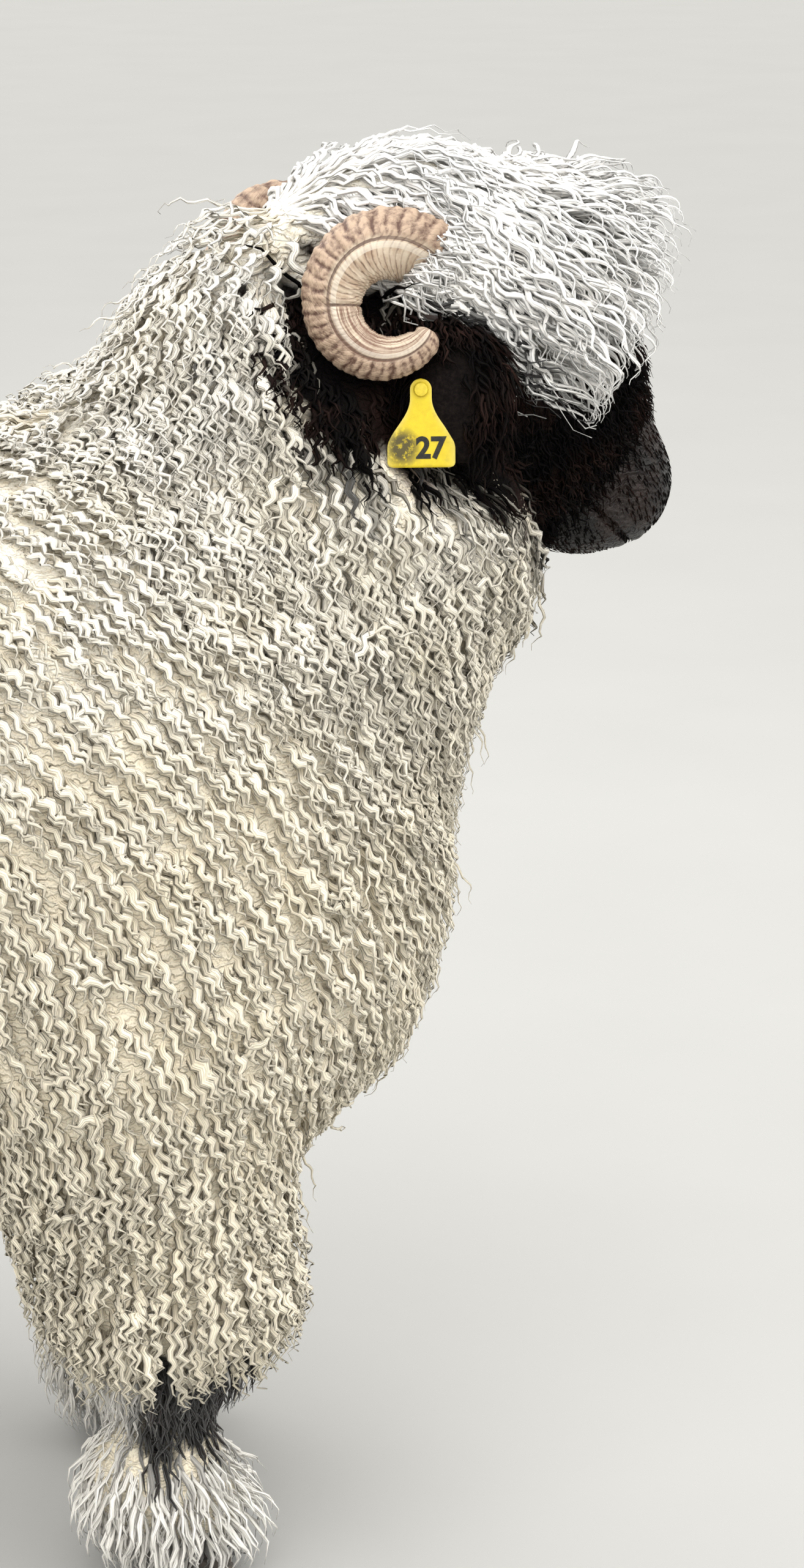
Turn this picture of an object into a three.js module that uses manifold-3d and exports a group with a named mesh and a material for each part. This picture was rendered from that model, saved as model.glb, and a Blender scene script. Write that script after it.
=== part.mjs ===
// A life-size valais blacknose sheep, standing, with its head raised and turned a little to its left.
// Millimetres, +X towards the front of the body, +Y to the animal's left, +Z up, the soles on z = 0.
// The body is one soft shape, a blend of round bars laid along the animal's build. The fleece is set
// on it clump by clump, and thin cuts then part the whole into its named pieces.

import * as THREE from "three";
import { mergeVertices } from "three/addons/utils/BufferGeometryUtils.js";
import Module from "manifold-3d";

const wasm = await Module();
wasm.setup();

// Driving dimensions: the stance.
const FORELEG_X = 165;
const HINDLEG_X = -405;
const FOOT_HALF_TRACK = 108;
const BACK_Z = 735;
const BRISKET_Z = 355;
const CHEST_X = 319;
const BUTTOCK_X = -503;
const BARREL_HALF_WIDTH = 150;
const KNEE_Z = 190;
const HOCK_Z = 235;
const FETLOCK_Z = 78;
const HOOF_HEIGHT = 42;
const TAIL_TIP_Z = 235;

// The head: where its poll stands, and how it is turned and tipped.
const POLL = new THREE.Vector3(388, 20, 925);
const HEAD_YAW = THREE.MathUtils.degToRad(16);
const HEAD_PITCH = THREE.MathUtils.degToRad(42);
const HEAD_LENGTH = 275;
const EYE_RADIUS = 13;
const HORN_COIL_RADIUS = 37;
const HORN_ROOT_WIDTH = 47;
const HORN_TIP_WIDTH = 18;
const EAR_WIDTH = 62;
const EAR_WALL = 4;
const TAG_HEIGHT = 57;
const TAG_WIDTH = 44;
const TAG_WALL = 1.6;

// The coat: how far its tips stand off the skin, and how far the solid core under them reaches.
const BODY_COAT = 56;
const NECK_COAT = 66;
const CROWN_COAT = 58;
const FACE_COAT = 26;
const MUZZLE_COAT = 4;
const LEG_COAT = 58;
const CANNON_COAT = 34;
const KNEE_COAT = 12;
const FOOT_COAT = 6;
const TAIL_COAT = 40;
const CORE_SHARE = 0.46;
const HEM_SHARE = 0.35;

// The space left between neighbouring pieces.
const GAP = 0.3;

// How closely the clumps of fleece stand, and how big each kind is.
const FLEECE_SPACING = 108;
const LEG_SPACING = 84;
const SHANK_SPACING = 46;
const FACE_SPACING = 62;
const TAIL_SPACING = 56;
const CLUMP_SLIMNESS = 0.36;
const CREASE_START = 0.86;
const CLUMP_TOP_FULLNESS = 0.82;
const TRUNK_RINGS = 26;
const TRUNK_SIDES = 40;
const NECK_SIDES = 30;
const LEG_CLUMP = { length: 88, width: 74, thickness: 34 };
const SHANK_CLUMP = { length: 40, width: 40, thickness: 22 };
const TAIL_CLUMP = { length: 66, width: 50, thickness: 30 };
const FACE_CLUMP = { length: 46, width: 46, thickness: 18 };
const FORELOCK_LENGTH = 104;
const FORELOCK_JUT = 0.09;

// Horn, stud and hoof details.
const HORN_SPLAY = THREE.MathUtils.degToRad(28);
const HORN_LEAN = THREE.MathUtils.degToRad(12);
const STUD_RADIUS = 2.2;
const TAG_NECK = 7;
const CLAW_WIDTH = 30;
const CLAW_SPREAD = 30.5;
const SHANK_WOOL_LOW_Z = 14;
const TAG_ALONG = 0.62;
const TAG_ACROSS = -0.78;
const TAG_STAND_OFF = 7;
const CENTRE_SHIFT_X = 10;

// Where the trousers of wool end, and where the thin cuts between the pieces run.
const FORE_HEM_Z = 152;
const HIND_HEM_Z = 175;
const LEG_TOP_Z = 345;
const NECK_CUT = 695;
const HEAD_CUT = 642;
const CHEST_CUT_X = 34;
const RUMP_CUT_X = -232;
const TAIL_CUT_X = -498;

const X_AXIS = new THREE.Vector3(1, 0, 0);
const Y_AXIS = new THREE.Vector3(0, 1, 0);
const Z_AXIS = new THREE.Vector3(0, 0, 1);
const SIDES = { right: -1, left: 1 };

const at = (x, y, z) => new THREE.Vector3(x, y, z);

// The head's own directions: along the nose, to its left, and up from the bridge of the nose.
const headNose = at(
  Math.cos(HEAD_PITCH) * Math.cos(HEAD_YAW),
  Math.cos(HEAD_PITCH) * Math.sin(HEAD_YAW),
  -Math.sin(HEAD_PITCH),
);
const headLeft = at(-Math.sin(HEAD_YAW), Math.cos(HEAD_YAW), 0);
const headCrest = new THREE.Vector3().crossVectors(headNose, headLeft);
const onHead = (along, left, crest) =>
  POLL.clone()
    .addScaledVector(headNose, along)
    .addScaledVector(headLeft, left)
    .addScaledVector(headCrest, crest);
const headTurn = (along, left, crest) => onHead(along, left, crest).sub(POLL).normalize();

// A seeded draw, so that the coat comes out the same each time.
function seeded(seed) {
  let state = seed;
  return () => {
    state = (state + 0x6d2b79f5) | 0;
    let t = Math.imul(state ^ (state >>> 15), 1 | state);
    t = (t + Math.imul(t ^ (t >>> 7), 61 | t)) ^ t;
    return ((t ^ (t >>> 14)) >>> 0) / 4294967296;
  };
}
const vary = (draw, share) => 1 + share * (2 * draw() - 1);
const mix = THREE.MathUtils.lerp;
const smooth = (value, low, high) => THREE.MathUtils.smoothstep(value, low, high);

// A round bar: the distance to it is that to its axis, less a radius that runs from one end to the other.
const bar = (start, startRadius, end, endRadius) => ({ start, startRadius, end, endRadius });
const ball = (centre, radius) => bar(centre, radius, centre, radius);

function barDistance(piece, point) {
  const ax = piece.end.x - piece.start.x;
  const ay = piece.end.y - piece.start.y;
  const az = piece.end.z - piece.start.z;
  const px = point.x - piece.start.x;
  const py = point.y - piece.start.y;
  const pz = point.z - piece.start.z;
  const length2 = ax * ax + ay * ay + az * az;
  const share = length2 ? Math.min(1, Math.max(0, (px * ax + py * ay + pz * az) / length2)) : 0;
  const distance = Math.hypot(px - ax * share, py - ay * share, pz - az * share);
  return distance - mix(piece.startRadius, piece.endRadius, share);
}

// Distances melt into each other over a blend width.
function melt(first, second, blend) {
  const share = Math.max(blend - Math.abs(first - second), 0) / blend;
  return Math.min(first, second) - share * share * blend * 0.25;
}
const blended = (pieces, blend) => (point) =>
  pieces.reduce((total, piece) => melt(total, barDistance(piece, point), blend), 1e6);

const mirrored = (make) => [make(SIDES.right), make(SIDES.left)];

const torsoBars = [
  bar(at(66, 0, BACK_Z - 161), 147, at(-370, 0, BACK_Z - 148), 138),
  bar(at(110, 0, BRISKET_Z + 150), BARREL_HALF_WIDTH, at(-320, 0, BRISKET_Z + 165), 142),
  ball(at(CHEST_X - 132, 0, 492), 132),
  ball(at(CHEST_X - 108, 0, 440), 116),
  ball(at(44, 0, 648), 72),
  ball(at(BUTTOCK_X + 128, 0, 586), 128),
  ...mirrored((side) => bar(at(105, side * 82, 620), 82, at(150, side * 92, 425), 78)),
  ...mirrored((side) => bar(at(-385, side * 80, 530), 98, at(-365, side * 92, 405), 84)),
];
const neckBars = [
  bar(at(98, 0, 546), 120, at(318, 8, 798), 64),
  bar(at(318, 8, 798), 64, at(358, 15, 848), 50),
  bar(at(228, 0, 600), 106, at(334, 8, 712), 68),
  bar(at(345, 12, 850), 50, onHead(40, 0, -50), 54),
];
const headBars = [
  ball(onHead(40, 0, -50), 60),
  ball(onHead(10, 0, -42), 48),
  bar(onHead(60, 0, -48), 56, onHead(160, 0, -46), 44),
  bar(onHead(160, 0, -46), 44, onHead(236, 0, -46), 37),
  bar(onHead(70, 0, -95), 42, onHead(215, 0, -76), 29),
  ...mirrored((side) => ball(onHead(75, side * 32, -80), 40)),
  ...mirrored((side) => ball(onHead(88, side * 38, -30), 23)),
  bar(onHead(112, 0, -12), 32, onHead(205, 0, -19), 27),
  ball(onHead(246, 0, -56), 32),
  ball(onHead(228, 0, -84), 24),
];
const forelegBars = (side) => [
  bar(at(145, side * FOOT_HALF_TRACK, 420), 62, at(FORELEG_X + 14, side * FOOT_HALF_TRACK, KNEE_Z + 15), 34),
  bar(
    at(FORELEG_X + 18, side * FOOT_HALF_TRACK, KNEE_Z + 15),
    32,
    at(FORELEG_X + 14, side * FOOT_HALF_TRACK, KNEE_Z - 25),
    27,
  ),
  bar(
    at(FORELEG_X + 11, side * FOOT_HALF_TRACK, KNEE_Z - 25),
    22,
    at(FORELEG_X + 3, side * FOOT_HALF_TRACK, FETLOCK_Z),
    22,
  ),
  bar(
    at(FORELEG_X + 3, side * FOOT_HALF_TRACK, FETLOCK_Z),
    24,
    at(FORELEG_X + 20, side * FOOT_HALF_TRACK, HOOF_HEIGHT),
    24,
  ),
];
const hindlegBars = (side) => [
  bar(at(HINDLEG_X + 35, side * 100, 410), 72, at(HINDLEG_X - 28, side * FOOT_HALF_TRACK, HOCK_Z + 22), 30),
  bar(
    at(HINDLEG_X - 36, side * FOOT_HALF_TRACK, HOCK_Z + 14),
    29,
    at(HINDLEG_X - 32, side * FOOT_HALF_TRACK, HOCK_Z - 30),
    26,
  ),
  bar(
    at(HINDLEG_X - 32, side * FOOT_HALF_TRACK, HOCK_Z - 30),
    23,
    at(HINDLEG_X - 14, side * FOOT_HALF_TRACK, FETLOCK_Z),
    22,
  ),
  bar(
    at(HINDLEG_X - 14, side * FOOT_HALF_TRACK, FETLOCK_Z),
    24,
    at(HINDLEG_X + 4, side * FOOT_HALF_TRACK, HOOF_HEIGHT),
    24,
  ),
];
const tailBars = [
  bar(at(BUTTOCK_X + 30, 0, 668), 34, at(BUTTOCK_X - 26, 0, 560), 22),
  bar(at(BUTTOCK_X - 26, 0, 560), 22, at(BUTTOCK_X - 34, 0, TAIL_TIP_Z + 45), 10),
];

const trunkField = blended([...torsoBars, ...neckBars], 60);
const headField = blended(headBars, 26);
const bodyField = (point) => melt(trunkField(point), headField(point), 30);
const tailField = blended(tailBars, 30);
const legFields = {
  fore: { right: blended(forelegBars(-1), 26), left: blended(forelegBars(1), 26) },
  hind: { right: blended(hindlegBars(-1), 26), left: blended(hindlegBars(1), 26) },
};

function slope(field, point) {
  const step = 0.5;
  const probe = point.clone();
  const difference = (axis) => {
    probe.copy(point).addScaledVector(axis, step);
    const ahead = field(probe);
    probe.copy(point).addScaledVector(axis, -step);
    return ahead - field(probe);
  };
  return at(difference(X_AXIS), difference(Y_AXIS), difference(Z_AXIS)).normalize();
}

// The point where a ray from inside the shape comes out at a height above the skin.
function surfacePoint(field, heightAt, origin, direction) {
  const point = origin.clone();
  for (let i = 0; i < 60; i++) {
    const left = heightAt(point) - field(point);
    if (Math.abs(left) < 0.02) break;
    point.addScaledVector(direction, left * 0.8);
  }
  return point;
}

// A point set back onto the skin, whichever side of it the point was on.
function ontoSkin(field, point) {
  for (let i = 0; i < 3; i++) point.addScaledVector(slope(field, point), -field(point));
  return point;
}

// A closed solid from points and triangles, turned so that its faces point out.
function solidFrom(points, triangles) {
  const geometry = new THREE.BufferGeometry().setFromPoints(points);
  geometry.setIndex(triangles);
  return solidOfGeometry(geometry);
}

function solidOfGeometry(source) {
  const bare = source.clone();
  for (const name of Object.keys(bare.attributes)) if (name !== "position") bare.deleteAttribute(name);
  const merged = mergeVertices(bare, 1e-4);
  const make = (triVerts) =>
    new wasm.Manifold(
      new wasm.Mesh({ numProp: 3, vertProperties: merged.attributes.position.array, triVerts }),
    );
  const made = make(Uint32Array.from(merged.index.array));
  if (made.volume() > 0) return made;
  return make(Uint32Array.from(merged.index.array).reverse());
}

// The same solid grown a little all round, to cut its own room with: each corner moves out until
// every face that meets there has moved by the wanted amount.
function swollen(solid, extra) {
  const { vertProperties, triVerts } = solid.getMesh();
  const points = Array.from({ length: vertProperties.length / 3 }, (_, i) =>
    at(...vertProperties.subarray(3 * i, 3 * i + 3)),
  );
  const facing = points.map(() => []);
  for (let i = 0; i < triVerts.length; i += 3) {
    const corners = triVerts.subarray(i, i + 3);
    const [a, b, c] = Array.from(corners, (corner) => points[corner]);
    const normal = b.clone().sub(a).cross(c.clone().sub(a)).normalize();
    for (const corner of corners) facing[corner].push(normal);
  }
  const grown = points.map((point, i) => {
    const out = facing[i].reduce((sum, normal) => sum.add(normal), at(0, 0, 0)).normalize();
    const least = Math.min(...facing[i].map((normal) => normal.dot(out)));
    return point.clone().addScaledVector(out, extra / Math.max(0.2, least));
  });
  return solidFrom(grown, Array.from(triVerts));
}

// A tube through rings of equally many points, closed at each end on a point.
function tube(rings, startPoint, endPoint) {
  const sides = rings[0].length;
  const points = rings.flat();
  const triangles = [];
  for (let ring = 0; ring + 1 < rings.length; ring++) {
    for (let i = 0; i < sides; i++) {
      const a = ring * sides + i;
      const b = ring * sides + ((i + 1) % sides);
      triangles.push(a, b, a + sides, b, b + sides, a + sides);
    }
  }
  const start = points.push(startPoint) - 1;
  const end = points.push(endPoint) - 1;
  const last = (rings.length - 1) * sides;
  for (let i = 0; i < sides; i++) {
    const next = (i + 1) % sides;
    triangles.push(start, next, i, end, last + i, last + next);
  }
  return solidFrom(points, triangles);
}

const middleOf = (ring) => ring.reduce((sum, p) => sum.add(p), at(0, 0, 0)).divideScalar(ring.length);

// Rings round a path: at each station rays leave the path square to it and stop at the wanted height.
// A round end has further rings, whose rays leave the path's end and lean out along it more and more.
function skinTube(field, heightAt, path, sides, endRings = { start: 0, end: 0 }, level = false) {
  const count = path.length;
  const ringAt = (i, lean) => {
    const ahead = path[Math.min(i + 1, count - 1)];
    const behind = path[Math.max(i - 1, 0)];
    const along = level ? at(0, 0, -1) : ahead.clone().sub(behind).normalize();
    const across = new THREE.Vector3().crossVectors(Z_AXIS, along);
    if (across.length() < 0.3) across.copy(Y_AXIS);
    across.addScaledVector(along, -across.dot(along)).normalize();
    const up = new THREE.Vector3().crossVectors(along, across);
    return Array.from({ length: sides }, (_, k) => {
      const angle = (2 * Math.PI * (k + 0.5)) / sides;
      const ray = across
        .clone()
        .multiplyScalar(Math.cos(angle) * Math.cos(lean))
        .addScaledVector(up, Math.sin(angle) * Math.cos(lean))
        .addScaledVector(along, Math.sin(lean));
      return surfacePoint(field, heightAt, path[i], ray);
    });
  };
  const leans = (number) =>
    Array.from({ length: number }, (_, j) => ((Math.PI / 2) * (j + 1)) / (number + 1));
  const rings = [
    ...leans(endRings.start).reverse().map((lean) => ringAt(0, -lean)),
    ...path.map((_, i) => ringAt(i, 0)),
    ...leans(endRings.end).map((lean) => ringAt(count - 1, lean)),
  ];
  const endOf = (index, other, isRound) => {
    if (!isRound) return middleOf(rings.at(index));
    const out = path.at(index).clone().sub(path.at(other)).normalize();
    return surfacePoint(field, heightAt, path.at(index), out);
  };
  return tube(rings, endOf(0, 1, endRings.start > 0), endOf(-1, -2, endRings.end > 0));
}

const pathThrough = (points, stations) =>
  stations.map((share) => new THREE.CatmullRomCurve3(points, false, "centripetal").getPointAt(share));
const evenly = (count) => Array.from({ length: count }, (_, i) => i / (count - 1));

// Whether each edge of a set of triangles is walked once each way, and no more.
function isClosedOnce(triangles) {
  const walked = new Set();
  for (let i = 0; i < triangles.length; i += 3) {
    for (let k = 0; k < 3; k++) {
      const edge = `${triangles[i + k]},${triangles[i + ((k + 1) % 3)]}`;
      if (walked.has(edge)) return false;
      walked.add(edge);
    }
  }
  return true;
}

// The same solid with its corners set on a fine grid, which closes the slivers that cuts leave.
function settled(solid) {
  const { vertProperties, triVerts } = solid.getMesh();
  for (const grid of [0.02, 0.005, 0.001, 0.01, 0.05]) {
    const places = new Map();
    const points = [];
    const numberOf = Array.from({ length: vertProperties.length / 3 }, (_, i) => {
      const place = Array.from(vertProperties.subarray(3 * i, 3 * i + 3), (v) => Math.round(v / grid));
      const key = place.join();
      if (!places.has(key)) places.set(key, points.push(at(...place.map((v) => v * grid))) - 1);
      return places.get(key);
    });
    const kept = [];
    for (let i = 0; i < triVerts.length; i += 3) {
      const [a, b, c] = Array.from(triVerts.subarray(i, i + 3), (corner) => numberOf[corner]);
      if (a !== b && b !== c && c !== a) kept.push(a, b, c);
    }
    if (!isClosedOnce(kept)) continue;
    try {
      return largest(solidFrom(points, kept));
    } catch {
      continue;
    }
  }
  return solid;
}

function joined(solids) {
  const whole = wasm.Manifold.union(solids);
  return largest(whole);
}
function largest(solid) {
  const bodies = solid.decompose();
  return bodies.reduce((best, body) => (body.volume() > best.volume() ? body : best));
}

const eyeCentre = (sign) => onHead(92, sign * 60, -35);
const hornCentre = (sign) => onHead(-29, sign * 94, -87);

// How long the coat is at a place on the trunk and on the head.
function trunkCoat(point) {
  const towardsHead = smooth(point.x + point.z, 780, 1050);
  return mix(BODY_COAT, NECK_COAT, towardsHead);
}
// The trunk's coat is shorter where it makes room for the horns, the ears and the tail.
function partedCoat(point) {
  const rooms = [-1, 1].flatMap((sign) => [
    smooth(point.distanceTo(hornCentre(sign)), HORN_COIL_RADIUS + 8, HORN_COIL_RADIUS + 60),
    smooth(point.distanceTo(onHead(40, sign * 122, -105)), 40, 90),
    smooth(tailField(point), 6, 60),
  ]);
  return trunkCoat(point) * mix(0.25, 1, Math.min(...rooms));
}
function headCoat(point) {
  const local = point.clone().sub(POLL);
  const along = local.dot(headNose);
  const crest = local.dot(headCrest);
  const face = mix(FACE_COAT, MUZZLE_COAT, smooth(along, 150, 215));
  const crown = smooth(crest - along * 0.55, -110, -60);
  const nearEye = Math.min(...[-1, 1].map((sign) => point.distanceTo(eyeCentre(sign))));
  const full = mix(face, CROWN_COAT, crown * (1 - smooth(along, 60, 120)));
  return full * mix(0.06, 1, smooth(nearEye, EYE_RADIUS + 6, EYE_RADIUS + 28));
}
function legCoat(hemZ) {
  return (point) => {
    const trouser = smooth(point.z, hemZ - 12, hemZ + 22);
    const shank = smooth(point.z, HOOF_HEIGHT - 12, HOOF_HEIGHT + 6) * (1 - smooth(point.z, 84, hemZ - 45));
    const lower = mix(point.z > FETLOCK_Z ? KNEE_COAT : FOOT_COAT, CANNON_COAT, shank);
    return mix(lower, LEG_COAT * mix(HEM_SHARE, 1, smooth(point.z, hemZ, hemZ + 100)), trouser);
  };
}
const tailCoat = () => TAIL_COAT;
const coreOf = (coat) => (point) => {
  const depth = coat(point);
  return depth < 12 ? depth : mix(depth * CORE_SHARE, depth, smooth(12 - depth, 0, 6));
};

// The fleece stands in rounded clumps set close, with creases between them. Each swells from the core to
// its tips like a ball, fullest near its lower end.
function clumped(coat, roots, lie) {
  const clumps = roots.map((root) => ({ root, heading: lie(root, slope(trunkField, root)) }));
  return (point) => {
    let near = Infinity;
    let next = Infinity;
    let downward = 0;
    for (const { root, heading } of clumps) {
      const reach = point.clone().sub(root);
      const along = reach.dot(heading);
      const distance = Math.sqrt(reach.lengthSq() - along * along * CLUMP_SLIMNESS);
      if (distance < near) {
        next = near;
        near = distance;
        downward = along / FLEECE_SPACING;
      } else if (distance < next) {
        next = distance;
      }
    }
    const towardsCrease = Math.min(1, (2 * near) / (near + next) / CREASE_START);
    const lobe = Math.sqrt(1 - towardsCrease * towardsCrease);
    const fullness = mix(CLUMP_TOP_FULLNESS, 1, smooth(downward, -0.4, 0.25));
    return coat(point) * mix(CORE_SHARE, 1, lobe * fullness);
  };
}

const ruffEnd = at(362, 16, 862);
const ruffWay = at(0.65, 0.05, 0.76).normalize();
const ruffFade = (point) => 1 - 0.8 * smooth(point.clone().sub(ruffEnd).dot(ruffWay), -34, 30);

// The trunk: the torso from rump to brisket, and the neck, whose wool ends in a ruff behind the jaws.
function trunkSolids() {
  const draw = seeded(12);
  const spine = [at(-400, 0, 560), at(60, 0, 560), at(200, 3, 620), at(350, 12, 850)];
  const roots = strewn(trunkField, spine, FLEECE_SPACING, 9000, draw).map((root) =>
    root.addScaledVector(slope(trunkField, root), BODY_COAT * 0.6),
  );
  const height = clumped(partedCoat, roots, trunkLie);
  const torsoPath = evenly(TRUNK_RINGS).map((share) => at(mix(-350, 225, share), 0, 555));
  const throughNeck = [at(130, 0, 640), at(230, 3, 730), at(320, 10, 810), at(368, 16, 868)];
  const neckPath = pathThrough(throughNeck, evenly(14));
  return [
    skinTube(blended(torsoBars, 60), height, torsoPath, TRUNK_SIDES, { start: 8, end: 5 }),
    skinTube(bodyField, (point) => height(point) * ruffFade(point), neckPath, NECK_SIDES),
  ];
}

// The head's rings run along the nose, and close over the muzzle as on a round end.
function headCore() {
  const centreAt = (along) => onHead(along, 0, mix(-54, -58, along / HEAD_LENGTH));
  const sides = 18;
  const rings = [];
  const ringOf = (centre, lean) =>
    Array.from({ length: sides }, (_, k) => {
      const angle = (2 * Math.PI * (k + 0.5)) / sides;
      const ray = headLeft
        .clone()
        .multiplyScalar(Math.cos(angle) * Math.cos(lean))
        .addScaledVector(headCrest, Math.sin(angle) * Math.cos(lean))
        .addScaledVector(headNose, Math.sin(lean));
      return surfacePoint(headField, coreOf(headCoat), centre, ray);
    });
  const back = centreAt(20);
  for (const lean of [-1.2, -0.8, -0.4]) rings.push(ringOf(back, lean));
  const alongNose = [20, 45, 68, 88, 108, 130, 152, 174, 196, 214, 230];
  for (const along of alongNose) rings.push(ringOf(centreAt(along), 0));
  const front = centreAt(230);
  for (const lean of [0.35, 0.7, 1.05, 1.32]) rings.push(ringOf(front, lean));
  return tube(
    rings,
    surfacePoint(headField, coreOf(headCoat), back, headNose.clone().negate()),
    surfacePoint(headField, coreOf(headCoat), front, headNose),
  );
}

function legCore(field, coat, path) {
  return skinTube(field, coreOf(coat), path, 10, { start: 0, end: 0 }, true);
}

// One clump: it starts sunk in the core, follows the skin along its lie and ends in a blunt tip.
function clump(field, root, lie, size) {
  const point = ontoSkin(field, root.clone());
  const normals = [];
  const line = [];
  const stations = size.stations ?? [0.1, 0.5, 0.86, 1];
  let done = 0;
  let heading = lie(point, slope(field, point));
  for (const station of stations) {
    const steps = station > done ? 2 : 0;
    for (let i = 0; i < steps; i++) {
      const normal = slope(field, point);
      heading = lie(point, normal).lerp(heading, 0.35);
      heading.addScaledVector(normal, -heading.dot(normal)).normalize();
      heading.applyAxisAngle(normal, size.bend / 4);
      point.addScaledVector(heading, ((station - done) * size.length) / steps);
      ontoSkin(field, point);
    }
    done = station;
    const normal = slope(field, point);
    normals.push({ normal, heading: heading.clone() });
    line.push(point.clone());
  }
  const rise = (share) => Math.sin(share * Math.PI * 0.5) ** 0.8;
  const height = (share) => size.depth * mix(0.2, size.tipHeight, rise(share));
  const widths = size.widths ?? [0.74, 1, 0.66];
  const sides = size.sides ?? 6;
  const rings = widths.map((share, i) => {
    const { normal, heading: forward } = normals[i];
    const across = new THREE.Vector3().crossVectors(normal, forward).normalize();
    const centre = line[i].clone().addScaledVector(normal, height(stations[i]) - size.thickness * 0.25);
    return Array.from({ length: sides }, (_, k) => {
      const angle = (2 * Math.PI * (k + 0.25)) / sides;
      return centre
        .clone()
        .addScaledVector(across, Math.cos(angle) * size.width * 0.5 * share)
        .addScaledVector(normal, Math.sin(angle) * size.thickness * 0.5 * (0.5 + share * 0.5));
    });
  });
  const last = normals.length - 1;
  const tip = line[last].clone().addScaledVector(normals[last].normal, height(1) - size.thickness * 0.25);
  return tube(rings, middleOf(rings[0]), tip);
}

// Which way the coat hangs.
function tangent(direction, normal) {
  const flat = direction.clone().addScaledVector(normal, -direction.dot(normal));
  return flat.length() < 1e-3 ? Y_AXIS.clone() : flat.normalize();
}
const trunkLie = (point, normal) => {
  const towardsHead = smooth(point.x + point.z, 780, 1050);
  const forward = mix(0.38, 0.1, towardsHead) * (1 - smooth(-point.x, 250, 450));
  const top = Math.max(0, normal.z);
  const onSpine = top * top * (1 - smooth(Math.abs(point.y), 0, 70));
  const outward = THREE.MathUtils.clamp(point.y / 40, -1, 1) * top * 1.1;
  return tangent(at(forward - 1.2 * onSpine, outward, -1), normal);
};
const hangingLie = (point, normal) => tangent(at(0, 0, -1), normal);
const crownLie = (point, normal) => {
  const local = point.clone().sub(POLL);
  const left = local.dot(headLeft);
  const direction = headNose
    .clone()
    .setZ(0)
    .normalize()
    .multiplyScalar(0.9)
    .addScaledVector(headLeft, left / 45);
  direction.z = -0.55;
  return tangent(direction, normal);
};
const faceLie = (point, normal) => tangent(at(headNose.x * 0.6, headNose.y * 0.6, -1), normal);

// Roots strewn evenly: rays from a path find the skin, and a root too near another is dropped.
function strewn(field, pathPoints, spacing, tries, draw, keep = () => true) {
  const curve = new THREE.CatmullRomCurve3(pathPoints, false, "centripetal");
  const roots = [];
  for (let i = 0; i < tries; i++) {
    const centre = curve.getPointAt(draw());
    const ray = at(draw() - 0.5, draw() - 0.5, draw() - 0.5).normalize();
    const root = surfacePoint(field, () => 0, centre, ray);
    if (!keep(root) || roots.some((other) => other.distanceTo(root) < spacing)) continue;
    roots.push(root);
  }
  return roots;
}

function clumpsOver(field, coat, roots, lie, sizes, draw) {
  return roots.map((root) => {
    const depth = coat(root);
    return clump(field, root, lie, {
      depth,
      length: sizes.length * vary(draw, 0.18),
      width: sizes.width * vary(draw, 0.16),
      thickness: sizes.thickness * vary(draw, 0.15),
      tipHeight: 0.93 * vary(draw, 0.07),
      bend: 0.5 * (draw() - 0.5),
    });
  });
}

function legParts(kind, side) {
  const sign = SIDES[side];
  const y = sign * FOOT_HALF_TRACK;
  const isFore = kind === "fore";
  const field = legFields[kind][side];
  const hemZ = isFore ? FORE_HEM_Z : HIND_HEM_Z;
  const coat = legCoat(hemZ);
  const draw = seeded((isFore ? 31 : 53) + sign);
  const path = isFore
    ? [at(146, y, 425), at(168, y, 290), at(181, y, 200), at(171, y, 120), at(169, y, 76), at(182, y, 44)]
    : [
        at(HINDLEG_X + 35, sign * 101, 420),
        at(HINDLEG_X + 3, sign * 105, 320),
        at(HINDLEG_X - 34, y, 235),
        at(HINDLEG_X - 24, y, 140),
        at(HINDLEG_X - 14, y, 78),
        at(HINDLEG_X + 2, y, 44),
      ];
  const down = [0, 0.2, 0.37, 0.49, 0.58, 0.66, 0.74, 0.84, 0.92, 1];
  const core = legCore(field, coat, pathThrough(path, down));
  const inTrouser = (p) => p.z > hemZ + 30 && p.z < 400;
  const onShank = (p) => p.z > 62 && p.z < 120;
  const trouser = strewn(field, path.slice(0, 3), LEG_SPACING, 900, draw, inTrouser);
  const shank = strewn(field, path.slice(2, 5), SHANK_SPACING, 500, draw, onShank);
  return [
    core,
    ...clumpsOver(field, coat, trouser, hangingLie, LEG_CLUMP, draw),
    ...clumpsOver(field, coat, shank, hangingLie, SHANK_CLUMP, draw),
  ];
}

// A hoof half: its wall leans back, its sole is flat, and its inner side faces its twin.
function claw(centreX, y, inward) {
  const rings = [0, 0.12, 0.55, 1].map((share) => {
    const z = share * HOOF_HEIGHT;
    const inset = share === 0 ? 1.5 : 0;
    const lengthHere = mix(33, 25, share) - inset;
    const widthHere = mix(CLAW_WIDTH, CLAW_WIDTH * 0.82, share) - 2 * inset;
    return Array.from({ length: 10 }, (_, k) => {
      const angle = (2 * Math.PI * (k + 0.5)) / 10;
      const toe = Math.max(0, Math.cos(angle));
      const across = Math.sin(angle) * 0.5 * widthHere;
      const flat = Math.sign(across) === inward ? 0.8 : 1;
      return at(
        centreX + share * -6 + Math.cos(angle) * lengthHere,
        y + across * flat * (1 - 0.35 * toe),
        z,
      );
    });
  });
  return tube(rings, middleOf(rings[0]), middleOf(rings[3]));
}

// The level direction that looks forward and out past one side of the head.
function splayedForward(sign) {
  const level = headNose.clone().setZ(0).normalize();
  return level
    .multiplyScalar(Math.cos(HORN_SPLAY))
    .addScaledVector(headLeft, sign * Math.sin(HORN_SPLAY));
}

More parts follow.
